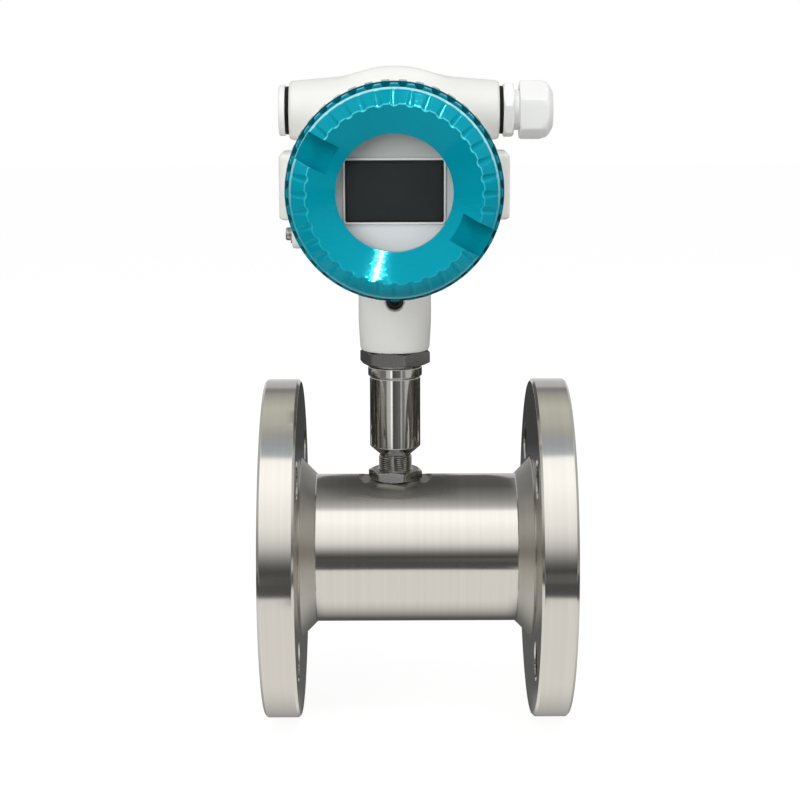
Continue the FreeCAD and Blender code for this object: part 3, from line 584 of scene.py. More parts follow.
coverFinish = {
    "tone": rgb(0.0, 0.302, 0.402),
    "drift": rgb(0.0, 0.272, 0.363),
    "tint": rgb(0.02, 0.85, 1.0),
    "shadow": rgb(0.0, 0.03, 0.04),
    "shadowMost": 0.8,
    "slotTurn": math.radians(28.0),
    "slotStart": (31.0, 31.5),
    "slotFloor": (55.4, 55.6),
    "slotEdge": (6.76, 6.8),
    "slotRise": (0.0, 6.0),
    "slotShadow": 0.26,
    "slotTopShadow": 0.22,
    "gripRadius": (45.2, 45.6),
    "gripEnd": (52.45, 52.6),
    "pocketRadius": (47.4, 48.4),
    "pocketShadow": 0.45,
    "stepStart": (43.85, 43.95),
    "stepEnd": (44.35, 44.5),
    "stepRadius": (46.8, 47.2),
    "stepShadow": 0.75,
    "underRadius": (40.0, 44.0),
    "underDrop": (30.0, 50.0),
    "underShadow": 0.42,
    "edge": (0.9, 0.99),
    "highlightLevel": 0.16,
    "highlightTopLevel": 0.64,
    "highlightRise": (-12.0, 26.0),
    "edgeRadius": (42.0, 45.0),
    # Colours of the painted highlight along the crest and the rim
    "crestHighlight": rgb(0.1, 0.7, 0.8),
    "rimHighlight": rgb(0.45, 0.85, 0.9),
    "rippleScale": (0.3, 0.3, 0.75),
}


def coverPaint(f):
    # Gloss paint with painted shade in the wrench slots, the grip's pockets and its underside, and a painted
    # highlight along the sharp edges of the crest and the rim
    material, shader, spot = newFinish("tealPaint", color=f["tone"], roughness=0.14, coat=0.03,
                                       coatRoughness=0.06, specular=0.35, tint=f["tint"])
    x, y, z = axes(spot)
    station = abs(y)
    reach = length2(x - stemX, z - headZ)
    turn = f["slotTurn"]
    across = (z - headZ) * math.cos(turn) - (x - stemX) * y.maths("SIGN") * math.sin(turn)
    slot = smoothStep(reach, *f["slotStart"]) * smoothStep(station, *f["slotFloor"])
    slot = slot * smoothFall(abs(across), *f["slotEdge"])
    slotTone = slot * (f["slotShadow"] + f["slotTopShadow"] * smoothStep(across, *f["slotRise"]))
    grip = smoothFall(station, *f["gripEnd"]) * smoothStep(reach, *f["gripRadius"])
    pocket = grip * smoothFall(reach, *f["pocketRadius"])
    step = smoothStep(station, *f["stepStart"]) * smoothFall(station, *f["stepEnd"])
    step = step * smoothStep(reach, *f["stepRadius"])
    under = smoothStep(reach, *f["underRadius"]) * smoothStep(headZ - z, *f["underDrop"])
    deep = slotTone + f["pocketShadow"] * pocket + f["stepShadow"] * step + f["underShadow"] * under
    tone = mixColor(noise(spot, 0.035), f["drift"], f["tone"])
    tone = mixColor(least(deep, f["shadowMost"]), tone, f["shadow"])
    # Painted highlight along the crest and the rim, strongest on top
    edge = spot.node("ShaderNodeAttribute", {"attribute_name": "paintEdge"}, out="Fac")
    highlight = f["highlightLevel"] + f["highlightTopLevel"] * smoothStep(z - headZ, *f["highlightRise"])
    highlightTone = mixColor(smoothStep(reach, *f["edgeRadius"]), f["crestHighlight"], f["rimHighlight"])
    tone = mixColor(highlight * smoothStep(edge, *f["edge"]), tone, highlightTone)
    grain = noise(spot, 1.1)
    squeezed = spot.node("ShaderNodeVectorMath", {"operation": "MULTIPLY"}, {0: spot, 1: f["rippleScale"]})
    ripple = noise(squeezed, 1.0, 1.0)
    feed(shader, color=tone, roughness=0.09 + grain * 0.1, normal=bump(grain * 0.04 + ripple, 1.0, 0.1))
    return material


def moulded(name, color, dark, roughness, grainScale=1.8, specular=0.5):
    # Moulded plastic and rubber: fine skin, slight mottling
    material, shader, spot = newFinish(name, color=color, roughness=roughness, specular=specular)
    skin = noise(spot, grainScale, 3.0)
    tone = mixColor(noise(spot, 0.09) * 0.6 + skin * 0.4, dark, color)
    feed(shader, color=tone, roughness=roughness - 0.08 + skin * 0.16, normal=bump(skin, 0.12, 0.04))
    return material


def platedMetal(name, color, roughness):
    material, shader, spot = newFinish(name, color=color, metallic=1.0)
    mottle = noise(spot, 0.7, 3.0)
    tone = mixColor(mottle, shade(color, 0.75), color)
    feed(shader, color=tone, roughness=roughness - 0.06 + mottle * 0.12)
    return material


def windingFinish():
    # Close turns of enamelled wire
    material, shader, spot = newFinish("copperWinding", metallic=1.0, roughness=0.35)
    x, y, z = axes(spot)
    turns = (z * 22.0).maths("SINE") * 0.5 + 0.5
    tone = mixColor(turns, rgb(0.35, 0.12, 0.05), rgb(0.8, 0.4, 0.2))
    feed(shader, color=tone, normal=bump(turns, 0.5, 0.1))
    return material


def boardFinish():
    # Glass-fibre board with a faint weave under the green mask
    material, shader, spot = newFinish("circuitBoard", roughness=0.35)
    x, y, z = axes(spot)
    weave = (x * 7.0).maths("SINE") * (z * 7.0).maths("SINE") * 0.5 + 0.5
    tone = mixColor(weave * 0.4 + noise(spot, 0.2) * 0.6, rgb(0.01, 0.09, 0.04), rgb(0.02, 0.17, 0.07))
    feed(shader, color=tone, normal=bump(weave, 0.1, 0.03))
    return material


def glassFinish():
    # Clear pane with a breath of haze
    material, shader, spot = newFinish("windowGlass", color=rgb(0.12, 0.14, 0.14), roughness=0.03)
    feed(shader, alpha=0.02 + noise(spot, 0.05) * 0.025)
    return material


def plateFinish():
    # Silver face plate with a painted shadow, darker towards its upper edge
    material, shader, spot = newFinish("displayPlate")
    x, y, z = axes(spot)
    grain = noise(spot, 1.1)
    # Painted shadow from the cover, darker towards the top
    tone = mixColor(smoothStep(z - headZ, -22.0, 24.0), rgb(0.88, 0.91, 0.92), rgb(0.5, 0.525, 0.51))
    feed(shader, color=tone, roughness=0.35 + grain * 0.1, normal=bump(grain, 0.08, 0.05))
    return material


screenSettings = {"width": 44.4, "height": 27.6, "border": 0.9, "borderFade": (-0.15, 0.15)}


def screenFinish(s):
    # Dark screen with a black edge all round
    material, shader, spot = newFinish("lcdScreen", roughness=0.36, specular=0.3)
    x, y, z = axes(spot)
    sideways = abs(x - stemX) - (s["width"] / 2 - s["border"])
    upwards = abs(z - headZ) - (s["height"] / 2 - s["border"])
    edge = smoothStep(most(sideways, upwards), *s["borderFade"])
    face = mixColor(noise(spot, 0.06), rgb(0.009, 0.011, 0.012), rgb(0.017, 0.02, 0.021))
    feed(shader, color=mixColor(edge, face, rgb(0.004, 0.004, 0.005)))
    return material


finishes = {
    "stainless": tubeSteel(tubeFinish),
    "turned_steel": stemSteel(stemFinish),
    # One nut steel in two copies, painted darker for the head nut and paler for the stem nut, standing in for
    # the light on them
    "nut_steel": milledSteel("nutSteel", rgb(0.25, 0.245, 0.235), 0.27),
    "pale_nut_steel": milledSteel("paleNutSteel", rgb(0.5, 0.49, 0.47), 0.22),
    "rotor_steel": milledSteel("rotorSteel", rgb(0.55, 0.53, 0.50), 0.25),
    "spring_steel": milledSteel("springSteel", rgb(0.35, 0.34, 0.33), 0.3),
    "screw_steel": platedMetal("screwSteel", rgb(0.58, 0.56, 0.53), 0.3),
    "black_oxide": platedMetal("blackOxide", rgb(0.05, 0.052, 0.05), 0.4),
    "carbide": platedMetal("carbide", rgb(0.25, 0.25, 0.26), 0.25),
    "soft_iron": platedMetal("softIron", rgb(0.4, 0.38, 0.36), 0.4),
    "magnet": platedMetal("magnetPlating", rgb(0.6, 0.6, 0.62), 0.22),
    "copper_winding": windingFinish(),
    "circuit_board": boardFinish(),
    "white_paint": enamel("whitePaint", rgb(0.83, 0.825, 0.79), rgb(0.79, 0.785, 0.745), 0.42, 0.15, 0.16),
    "teal_paint": coverPaint(coverFinish),
    "display_plate": plateFinish(),
    "white_plastic": moulded("whitePlastic", rgb(0.89, 0.89, 0.875), rgb(0.845, 0.845, 0.825), 0.42),
    "black_plastic": moulded("blackPlastic", rgb(0.03, 0.03, 0.032), rgb(0.018, 0.018, 0.02), 0.5),
    "bobbin_plastic": moulded("bobbinPlastic", rgb(0.5, 0.45, 0.34), rgb(0.4, 0.36, 0.27), 0.5),
    "black_rubber": moulded("blackRubber", rgb(0.009, 0.009, 0.009), rgb(0.005, 0.005, 0.005), 0.6, 2.6, 0.2),
    "window_glass": glassFinish(),
    "lcd_screen": screenFinish(screenSettings),
}
print("finishes made:", len(finishes))

# CAD nodes that stay in view take the finish of their own slot
for name, thing in frame["nodes"].items():
    slotNames = [item.name.split(".")[0] for item in thing.data.materials]
    for index, slotName in enumerate(slotNames):
        if slotName in finishes:
            thing.data.materials[index] = finishes[slotName]
        else:
            print("no finish for", name, slotName)


# Flow tube
def boltHoleRule():
    tree, sizes = newRule("boltHoleRule", ("count", "circle", "firstAngle"), helper="cutter")
    start = sizes["Geometry"]
    values = {"Vertices": sizes["count"], "Radius": sizes["circle"] / 2}
    ring = turned(start.node("GeometryNodeMeshCircle", values=values), sizes["firstAngle"])
    tool = start.node("GeometryNodeObjectInfo", values={"Object": sizes["cutter"]}, out="Geometry")
    tools = ring.node("GeometryNodeInstanceOnPoints", values={"Points": ring, "Instance": tool})
    tools = tools.node("GeometryNodeRealizeInstances", values={"Geometry": tools})
    return endRule(tree, sizes, without(start, tools))


drillRing = boltHoleRule()
cutClear = 1.0        # a cutter stands out this far from what it cuts

flangeSettings = {
    "rim": outletHigh.z - outletLow.z,
    "rimWidth": 17.0,
    "rimChamfer": 1.2,
    "rimRound": 0.3,
    "raisedFace": 102.0,
    "faceHeight": 2.0,
    "hub": 88.0,
    "hubLength": 8.0,
    "hubRound": 3.0,
    "bore": 50.0,
    "edge": 0.35,
    "grooveDepth": 0.07,
    "groovePitch": 0.8,
    "grooveLand": 1.6,
    "segments": 216,
}
boltSettings = {
    "count": 4,
    "circle": 125.0,
    "firstAngle": math.radians(45.0),
    "hole": 18.0,
    "chamfer": 0.7,
    "segments": 64,
}
ringGroove = {"start": 41.0, "width": 1.5, "depth": 1.2}


def grooveCorners(bore, start):
    # Retaining ring groove in a bore, from its far side to its near one
    deep = bore + ringGroove["depth"]
    end = start + ringGroove["width"]
    return [(bore, end), (deep, end), (deep, start), (bore, start)]


def flangeOutline(f, grooveAt):
    bore = f["bore"] / 2
    face = f["raisedFace"] / 2
    rim = f["rim"] / 2
    rimHighlight = rim - f["rimChamfer"]
    front = f["faceHeight"]
    back = front + f["rimWidth"]
    hubEnd = back + f["hubLength"]
    outline = [(bore, 0, f["edge"])]
    for k in range(int((face - bore - 2 * f["grooveLand"]) / f["groovePitch"])):
        r = bore + f["grooveLand"] + k * f["groovePitch"]
        outline += [(r, 0), (r + f["groovePitch"] / 2, f["grooveDepth"])]
    outline += [(face, 0, f["edge"]), (face, front, f["edge"])]
    outline += [(rimHighlight, front, f["rimRound"]), (rim, front + f["rimChamfer"], f["rimRound"])]
    outline += [(rim, back - f["rimChamfer"], f["rimRound"]), (rimHighlight, back, f["rimRound"])]
    outline += [(f["hub"] / 2, back, f["hubRound"]), (tubeRadius, hubEnd), (bore, hubEnd)]
    return outline + grooveCorners(bore, grooveAt) if grooveAt else outline


def boltCutter(f, b):
    radius = b["hole"] / 2
    flare = radius + b["chamfer"] + cutClear
    front = f["faceHeight"]
    back = front + f["rimWidth"]
    outline = [(0, front - cutClear), (flare, front - cutClear), (radius, front + b["chamfer"])]
    outline += [(radius, back - b["chamfer"]), (flare, back + cutClear), (0, back + cutClear)]
    return lathe("boltCutter", outline, evenAngles(b["segments"]))


def makeFlange(name, node, place, grooveAt=None):
    f = flangeSettings
    piece = lathe(name, flangeOutline(f, grooveAt), evenAngles(f["segments"]), closed=True)
    follow(piece, drillRing, boltSettings, "stainless", boltCutter(f, boltSettings))
    settle(move(piece, place), "meter_body", "stainless", node, crease=28)


makeFlange("turnedInletFlange", "inlet_flange", inletFrame, stemX - ringGroove["start"] - ringGroove["width"])
makeFlange("turnedOutletFlange", "outlet_flange", outletFrame)

tubeSettings = {
    "bore": flangeSettings["bore"],
    "measuringBore": 48.4,
    "measuringHalf": 13.0,
    "seat": 36.0,
    "seatHeight": stemNutLow.z,
    "hole": 16.1,
    "holeFloor": 27.0,
    "segments": 216,
    "seatSegments": 96,
}


def makeTube():
    t = tubeSettings
    bore = t["bore"] / 2
    measuring = t["measuringBore"] / 2
    near = stemX - t["measuringHalf"]
    far = stemX + t["measuringHalf"]
    outline = [(bore, tubeLow.x), (tubeRadius, tubeLow.x), (tubeRadius, tubeHigh.x), (bore, tubeHigh.x)]
    outline += grooveCorners(bore, stemX + ringGroove["start"])
    outline += [(bore, far), (measuring, far), (measuring, near), (bore, near)]
    piece = move(lathe("turnedTube", outline, evenAngles(t["segments"]), closed=True), inletFrame)
    hole = t["hole"] / 2
    seat = t["seat"] / 2
    cutter = [(0, t["holeFloor"]), (hole, t["holeFloor"]), (hole, t["seatHeight"])]
    cutter += [(seat, t["seatHeight"]), (seat, 2 * tubeRadius), (0, 2 * tubeRadius)]
    carve(piece, move(lathe("seatCutter", cutter, evenAngles(t["seatSegments"])), stemFrame))
    settle(piece, "meter_body", "stainless", "body_tube")


makeTube()
print("flow tube made")


# Pickup stem
def threadRule():
    crestShare = 0.5
    flankSlope = 2.3
    tree, sizes = newRule("threadRule", ("pitch", "depth"))
    start = sizes["Geometry"]
    x, y, z = axes(start.node("GeometryNodeInputPosition"))
    turn = y.maths("ARCTAN2", x) / (2 * math.pi)
    phase = (z / sizes["pitch"] - turn).maths("FRACT")
    valley = 1 - abs(2 * phase - 1)
    cut = clamp(flankSlope * valley - flankSlope * crestShare)
    scale = 1 - cut * sizes["depth"] * weight(start, "thread") / length2(x, y)
    return endRule(tree, sizes, spread(start, x, y, z, scale))


cutThread = threadRule()


def threadRows(radius, start, end, step):
    count = max(2, round((end - start) / step))
    return [(radius, start + (end - start) * k / count) for k in range(count + 1)]


def threadZone(start, end, fade, inner):
    # Full depth between start and end, nothing inside the inner radius
    def rule(r, s):
        if r < inner:
            return 0.0
        return max(0.0, min(1.0, (s - start) / fade, (end - s) / fade))
    return rule


sleeveSettings = {
    "thread": 16.0,
    "threadTop": 46.0,
    "threadLead": 0.5,
    "threadFoot": 0.3,
    "threadEnd": 46.2,
    "threadFade": 0.8,
    "pitch": 1.0,
    "depth": 0.45,
    "relief": 14.8,
    "reliefFoot": 46.4,
    "reliefTop": 47.6,
    "reliefRound": 0.3,
    "coneFootRound": 0.2,
    "coneTop": 51.3,
    "coneRound": 0.8,
    "topRound": 0.5,
    "bore": 19.4,
    "chamberFloor": 53.0,
    "tipBore": 10.4,
    "tipWall": 1.2,
    "segments": 120,
}


def makeSleeve():
    s = sleeveSettings
    outer = (sleeveHigh.x - sleeveLow.x) / 2
    thread = s["thread"] / 2
    relief = s["relief"] / 2
    bore = s["bore"] / 2
    tipBore = s["tipBore"] / 2
    tip = sleeveLow.z
    tipFloor = tip + s["tipWall"]
    outline = [(0, tip), (thread, tip)]
    outline += threadRows(thread, tip + s["threadLead"], s["threadTop"], s["pitch"] / 8)
    outline += [(relief, s["reliefFoot"], s["reliefRound"]), (relief, s["reliefTop"], s["reliefRound"])]
    outline += [(thread, s["reliefTop"], s["coneFootRound"]), (outer, s["coneTop"], s["coneRound"])]
    outline += [(outer, sleeveHigh.z, s["topRound"]), (bore, sleeveHigh.z), (bore, s["chamberFloor"])]
    outline += [(tipBore, s["chamberFloor"]), (tipBore, tipFloor), (0, tipFloor)]
    piece = lathe("turnedSleeve", outline, evenAngles(s["segments"]))
    mark(piece, "thread", threadZone(tip + s["threadFoot"], s["threadEnd"], s["threadFade"], tipBore + 1))
    follow(piece, cutThread, s, "turned_steel")
    settle(move(piece, stemFrame), "meter_body", "turned_steel", "pickup_sleeve")


adapterSettings = {
    "bore": 14.0,
    "plug": 19.3,
    "band": 23.9,
    "bandTop": 85.9,
    "bandFootRound": 0.5,
    "bandTopRound": 0.25,
    "collar": 26.0,
    "collarTop": 90.5,
    "collarFootRound": 0.4,
    "collarTopRound": 0.6,
    "spigot": 20.0,
    "spigotRound": 0.6,
    "pitch": 1.5,
    "depth": 0.7,
    "threadTop": 99.5,
    "threadFade": 0.6,
    "segments": 120,
}


def makeAdapter():
    a = adapterSettings
    bore = a["bore"] / 2
    plug = a["plug"] / 2
    band = a["band"] / 2
    collar = a["collar"] / 2
    spigot = a["spigot"] / 2
    outline = [(bore, adapterLow.z), (plug, adapterLow.z), (plug, sleeveHigh.z)]
    outline += [(band, sleeveHigh.z, a["bandFootRound"]), (band, a["bandTop"], a["bandTopRound"])]
    outline += [(collar, a["bandTop"], a["collarFootRound"]), (collar, a["collarTop"], a["collarTopRound"])]
    outline += threadRows(spigot, a["collarTop"], a["threadTop"], a["pitch"] / 8)
    outline += [(spigot, adapterHigh.z, a["spigotRound"]), (bore, adapterHigh.z)]
    piece = lathe("turnedAdapter", outline, evenAngles(a["segments"]), closed=True)
    mark(piece, "thread", threadZone(a["collarTop"] + 0.1, a["threadTop"], a["threadFade"], bore + 1))
    follow(piece, cutThread, a, "turned_steel")
    settle(move(piece, stemFrame), "meter_body", "turned_steel", "stem_adapter")


hexSegments = 144
nutSettings = {
    "stem": {"flats": 23.0, "bore": 16.1, "turn": 50.0},
    "head": {"flats": 30.0, "bore": 20.1, "turn": 47.7},
    "chamfer": 0.9,
    "boreChamfer": 0.7,
    "cornerTrim": 0.12,
}


def hexRows(flats, low, high, chamfer, trim, count):
    # Six flats with their corners turned down at both ends
    corner = flats / math.sqrt(3) - trim
    edge = corner - 2 * chamfer
    rows = [(edge + 2 * chamfer * t, low + chamfer * t, flats) for t in steps(count)]
    return rows + [(corner - 2 * chamfer * t, high - chamfer * (1 - t), flats) for t in steps(count)]


def makeNut(name, node, kind, low, high, finish):
    n = nutSettings[kind]
    bore = n["bore"] / 2
    bevel = nutSettings["boreChamfer"]
    rows = hexRows(n["flats"], low.z, high.z, nutSettings["chamfer"], nutSettings["cornerTrim"], 5)
    rows += [(bore + bevel, high.z), (bore, high.z - bevel), (bore, low.z + bevel), (bore + bevel, low.z)]
    piece = revolve(name, rows, evenAngles(hexSegments), True, math.radians(n["turn"]))
    settle(move(piece, stemFrame), "meter_body", "nut_steel", node, finish=finish, crease=20)


makeSleeve()
makeAdapter()
# The stem nut takes the paler copy of the nut steel, painted light
makeNut("milledStemNut", "stem_lock_nut", "stem", stemNutLow, stemNutHigh, "pale_nut_steel")
makeNut("milledHeadNut", "head_lock_nut", "head", headNutLow, headNutHigh, "nut_steel")
print("pickup stem made")


# Indicator housing, a casting described by distances to its forms
housingSettings = {
    "drum": 47.5,
    "drumHalf": 34.0,
    "rimStep": 2.0,
    "rimFade": 27.0,
    "crown": 50.95,
    "crownRise": 4.5,
    "crownHalf": 10.0,
    "crownShoulder": 3.0,
    "crownFoot": 25.0,
    "padReach": 54.0,
    "padHeight": 15.5,
    "padHalf": 17.0,
    "padRound": 3.0,
    "entryRoot": 17.0,
    "entryMouth": 13.8,
    "entryStart": 12.0,
    "entryReach": entryReach,
    "entryBack": entryY,
    "entryRise": entryZ - headZ,
    "entryBore": 10.05,
    "entryBoreStart": 18.0,
    "neckFoot": 16.6,
    "neckTop": 17.4,
    "neckSwell": 13.5,
    "neckDrop": headZ - housingLow.z,
    "neckBore": 10.05,
    "chamber": 41.5,
    "partitionFront": 13.0,
    "partitionBack": 10.0,
    "lockDrop": headZ - lockZ,
    "lockHole": 4.02,
    "lockWell": 4.4,
    "lockFloor": 14.0,
    "lockEdge": 0.3,
    "earthDrop": headZ - earthZ,
    "earthBoss": 7.0,
    "earthReach": 48.8,
    "blend": 4.0,
    "edge": 1.2,
    "stemX": stemX,
    "headZ": headZ,
    "voxel": 1.05,
    "margin": 3.0,
    "fog": 6.0,
}


def both(a, b, soft):
    return a.maths("SMOOTH_MAX", b, soft)


def join(a, b, soft):
    return a.maths("SMOOTH_MIN", b, soft)


def housingRule(settings):
    tree, k = newRule("housingRule", settings)
    px, y, pz = axes(k["Geometry"].node("GeometryNodeInputPosition"))
    x = px - k["stemX"]
    z = pz - k["headZ"]
    reachX = abs(x)
    reachY = abs(y)
    ahead = -y
    edge = k["edge"]
    blend = k["blend"]
    padRound = k["padRound"]
    axial = length2(x, z)
    drum = axial - k["drum"] - clamp(reachY - k["rimFade"], k["rimStep"])
    drum = both(drum, reachY - k["drumHalf"], edge)
    crownDepth = abs(y - k["entryBack"])
    shoulder = clamp(crownDepth - (k["crownHalf"] - k["crownShoulder"]), k["crownShoulder"])
    crown = length2(x, z - k["crownRise"]) - k["crown"] + shoulder
    crown = both(crown, crownDepth - k["crownHalf"], padRound)
    crown = both(crown, k["crownFoot"] - z, edge)
    pads = both(reachX - k["padReach"], abs(z) - k["padHeight"], padRound)
    pads = both(pads, reachY - k["padHalf"], padRound)
    entryAxial = length2(y - k["entryBack"], z - k["entryRise"])
    taper = (k["entryRoot"] - k["entryMouth"]) / (k["entryReach"] - k["entryStart"])
    entry = entryAxial - k["entryRoot"] + (reachX - k["entryStart"]) * taper
    entry = both(entry, reachX - k["entryReach"], edge)
    neckAxial = length2(x, y)
    swell = clamp((z + k["neckDrop"]) / k["neckSwell"]) * (k["neckTop"] - k["neckFoot"])
    neck = both(neckAxial - k["neckFoot"] - swell, -z - k["neckDrop"], edge)
    neck = both(neck, z, edge)
    boss = both(length2(y, z + k["earthDrop"]) - k["earthBoss"], -x - k["earthReach"], edge)
    boss = both(boss, x, edge)
    body = drum
    for form, soft in ((crown, blend), (pads, padRound), (entry, blend), (boss, padRound), (neck, 2 * blend)):
        body = join(body, form, soft)
    wall = least(k["partitionFront"] - ahead, ahead - k["partitionBack"])
    lockAxial = length2(x, z + k["lockDrop"])
    voids = [
        most(axial - k["chamber"], wall),
        most(entryAxial - k["entryBore"], k["entryBoreStart"] - reachX),
        most(neckAxial - k["neckBore"], z + k["chamber"] / 2),
        both(lockAxial - k["lockWell"], k["lockFloor"] - ahead, k["lockEdge"]),
        most(lockAxial - k["lockHole"], y),
    ]
    for void in voids:
        body = most(body, -void)
    half = Vector((settings["padReach"], settings["drumHalf"], 0))
    room = Vector([settings["margin"]] * 3)
    low = Vector((stemX, 0, housingLow.z)) - half - room
    high = Vector((stemX, 0, housingHigh.z)) + half + room
    values = {"Density": clamp(0.5 - body / k["fog"]), "Min": low, "Max": high}
    for axis, side in zip("XYZ", high - low):
        values["Resolution " + axis] = round(side / settings["voxel"])
    cloud = k["Geometry"].node("GeometryNodeVolumeCube", values=values)
    skin = cloud.node("GeometryNodeVolumeToMesh", values={"Volume": cloud, "Threshold": 0.5})
    return endRule(tree, k, skin)


spigotSettings = {
    "radius": 44.5,
    "bore": housingSettings["chamber"],
    "foot": 31.0,
    "threadStart": 36.0,
    "threadFade": 1.5,
    "top": 48.0,
    "chamfer": 0.8,
    "boreRound": 0.4,
    "pitch": 2.0,
    "depth": 0.9,
    "segments": 144,
}


def makeSpigot(name, place):
    s = spigotSettings
    outline = [(s["bore"], s["foot"]), (s["radius"], s["foot"])]
    outline += threadRows(s["radius"], s["threadStart"], s["top"] - s["chamfer"], s["pitch"] / 6)
    outline += [(s["radius"] - s["chamfer"], s["top"]), (s["bore"], s["top"], s["boreRound"])]
    piece = lathe(name, outline, evenAngles(s["segments"]), closed=True)
    mark(piece, "thread", threadZone(s["threadStart"], s["top"] + 1.0, s["threadFade"], s["bore"] + 1))
    follow(piece, cutThread, s, "white_paint")
    return move(piece, place)


def makeHousing():
    seed = solid("castHousing", [(0, 0, 0), (1, 0, 0), (0, 1, 0)], [(0, 1, 2)])
    follow(seed, housingRule(housingSettings), housingSettings, "white_paint")
    print("housing skin:", len(seed.data.polygons), "faces")
    work = bmesh.new()
    work.from_mesh(seed.data)
    for spigot in (makeSpigot("frontSpigot", frontFrame), makeSpigot("rearSpigot", rearFrame)):
        work.from_mesh(spigot.data)
        bpy.data.objects.remove(spigot)
    work.to_mesh(seed.data)
    work.free()
    settle(seed, "head", "white_paint", "housing", crease=40, flatten=False)


makeHousing()


# Covers, blanks in their own frame with weights that the rule carves by
coverSettings = {
    "count": 40,
    "pocket": 4.2,
    "pocketLift": 0.2,
    "flutes": 36,
    "flute": 4.0,
    "slotWidth": 13.5,
    "slotStart": coverFinish["slotStart"][0],
    "slotFloor": 55.7,
    "slotAngle": -coverFinish["slotTurn"],
    "slotReach": 40.0,
    "slotHeight": 20.0,
}
coverShape = {
    "thread": 44.65,
    "back": 34.5,
    "grip": 50.3,
    "gripEdge": 0.8,
    "gripRound": 0.1,
    "draft": 0.5,
    "rowSplit": 44.0,
    "land": 0.3,
    "wall": 0.1,
    "gripFront": 49.3,
    "frontEnd": 52.5,
    "frontRound": 0.15,
    "band": 47.4,
    "bandEnd": 54.9,
    "bandRound": 0.3,
    "bandDraft": 0.17,
    "rim": 46.5,
    "rimAt": 56.5,
    "crest": 40.2,
    "crestAt": 61.5,
    "crestRound": 0.4,
    "window": 26.6,
    "lipAt": 51.5,
    "lip": 2.0,
    "dish": 30.0,
    "dishAt": 54.1,
    "dishRings": (26.0, 18.0, 9.0, 0.0),
    "core": 50.1,
    "frontCore": 51.7,
    "glass": (30.05, 44.9),
    "ring": (33.05, 42.7),
    "boss": 36.65,
    "sealGroove": (46.9, 35.5, 37.9),
    "fluteCrest": 1.2,
    "fluteRim": 0.3,
    "near": 0.05,
    "crestNear": 0.35,
    "pocketSteps": (0.0, 0.7, 1.4, 1.86, 1.98, 2.1),
    "fluteSteps": (0.0, 0.5, 1.0, 1.4, 1.7, 1.86, 2.05, 2.7),
    "leastTurn": 0.0012,
}


def coverRule():
    tree, k = newRule("coverRule", coverSettings)
    start = k["Geometry"]
    x, y, z = axes(start.node("GeometryNodeInputPosition"))
    radius = most(length2(x, y), 0.01)
    angle = y.maths("ARCTAN2", x)

    def offset(count, shift):
        phase = angle * count / (2 * math.pi) + shift
        return (phase - phase.maths("ROUND")) * (2 * math.pi / count) * radius

    def arch(half, across):
        return most(half * half - across * across, 0.0).maths("SQRT")

    def pocketDepth(across):
        return most(arch(k["pocket"] / 2, across) - k["pocketLift"], 0.0)

    here = offset(k["count"], 0.0)
    between = offset(k["count"], 0.5)
    flute = k["flute"] / 2
    carved = most(weight(start, "fluteDepth") - (flute - arch(flute, offset(k["flutes"], 0.0))), 0.0)
    inward = weight(start, "rearPocket") * pocketDepth(here)
    inward = inward + weight(start, "frontPocket") * pocketDepth(between)
    scale = 1 + (weight(start, "carveAcross") * carved - inward) / radius
    shaped = spread(start, x, y, z + weight(start, "carveAlong") * carved, scale)
    values = {"X": k["slotReach"], "Y": k["slotWidth"], "Z": k["slotHeight"]}
    size = start.node("ShaderNodeCombineXYZ", values=values)
    values = {"X": k["slotStart"] + k["slotReach"] / 2, "Z": k["slotFloor"] + k["slotHeight"] / 2}
    centre = start.node("ShaderNodeCombineXYZ", values=values)
    block = start.node("GeometryNodeMeshCube", values={"Size": size})
    block = block.node("GeometryNodeTransform", values={"Geometry": block, "Translation": centre})
    slots = [turned(block, k["slotAngle"] + half) for half in (0.0, math.pi)]
    return endRule(tree, k, without(shaped, slots))


carveCover = coverRule()


def line(start, end, count):
    first = Vector(start)
    step = (Vector(end) - first) / count
    return [tuple(first + step * k) for k in range(count + 1)]


def gripRows(c):
    split = c["rowSplit"]
    land = c["land"]
    rear = c["grip"] - c["draft"]
    front = c["gripFront"] - c["draft"]
    rows = [(c["thread"], c["back"]), (c["grip"] - c["gripEdge"], c["back"])]
    rows += [(c["grip"], c["back"] + c["gripEdge"]), (rear, split - land - c["wall"]), (rear, split - land)]
    rows += [(rear, split - c["gripRound"]), (rear - c["gripRound"], split)]
    rows += [(c["gripFront"], s) for s in (split, split + land, split + land + c["wall"])]
    rows += [(front, c["frontEnd"] - c["frontRound"]), (front - c["frontRound"], c["frontEnd"])]
    rows += [(c["band"], c["frontEnd"]), (c["band"], c["bandEnd"] - c["bandRound"])]
    rows += [(c["band"] - c["bandDraft"], c["bandEnd"] + c["bandRound"])]
    rows += line((c["rim"], c["rimAt"]), (c["crest"], c["crestAt"]), 8)
    return rows[:-1] + [(c["crest"], c["crestAt"], c["crestRound"])]


def sealRows(c):
    deep, first, last = c["sealGroove"]
    return [(c["thread"], last), (deep, last), (deep, first), (c["thread"], first)]


def frontRows(c):
    glass, glassBack = c["glass"]
    ring, ringBack = c["ring"]
    seat = c["lipAt"] - c["lip"]
    rows = line((c["crest"], c["crestAt"]), (c["window"], c["lipAt"]), 8)[1:]
    rows += [(c["window"], seat), (glass, seat), (glass, glassBack), (ring, glassBack), (ring, ringBack)]
    return rows + [(c["boss"], ringBack), (c["boss"], c["frontCore"]), (c["thread"], c["frontCore"])]


def rearRows(c):
    rows = line((c["crest"], c["crestAt"]), (c["dish"], c["dishAt"]), 6)[1:]
    rows += [(radius, c["dishAt"]) for radius in c["dishRings"]]
    return rows + [(0.0, c["core"]), (c["thread"], c["core"])]


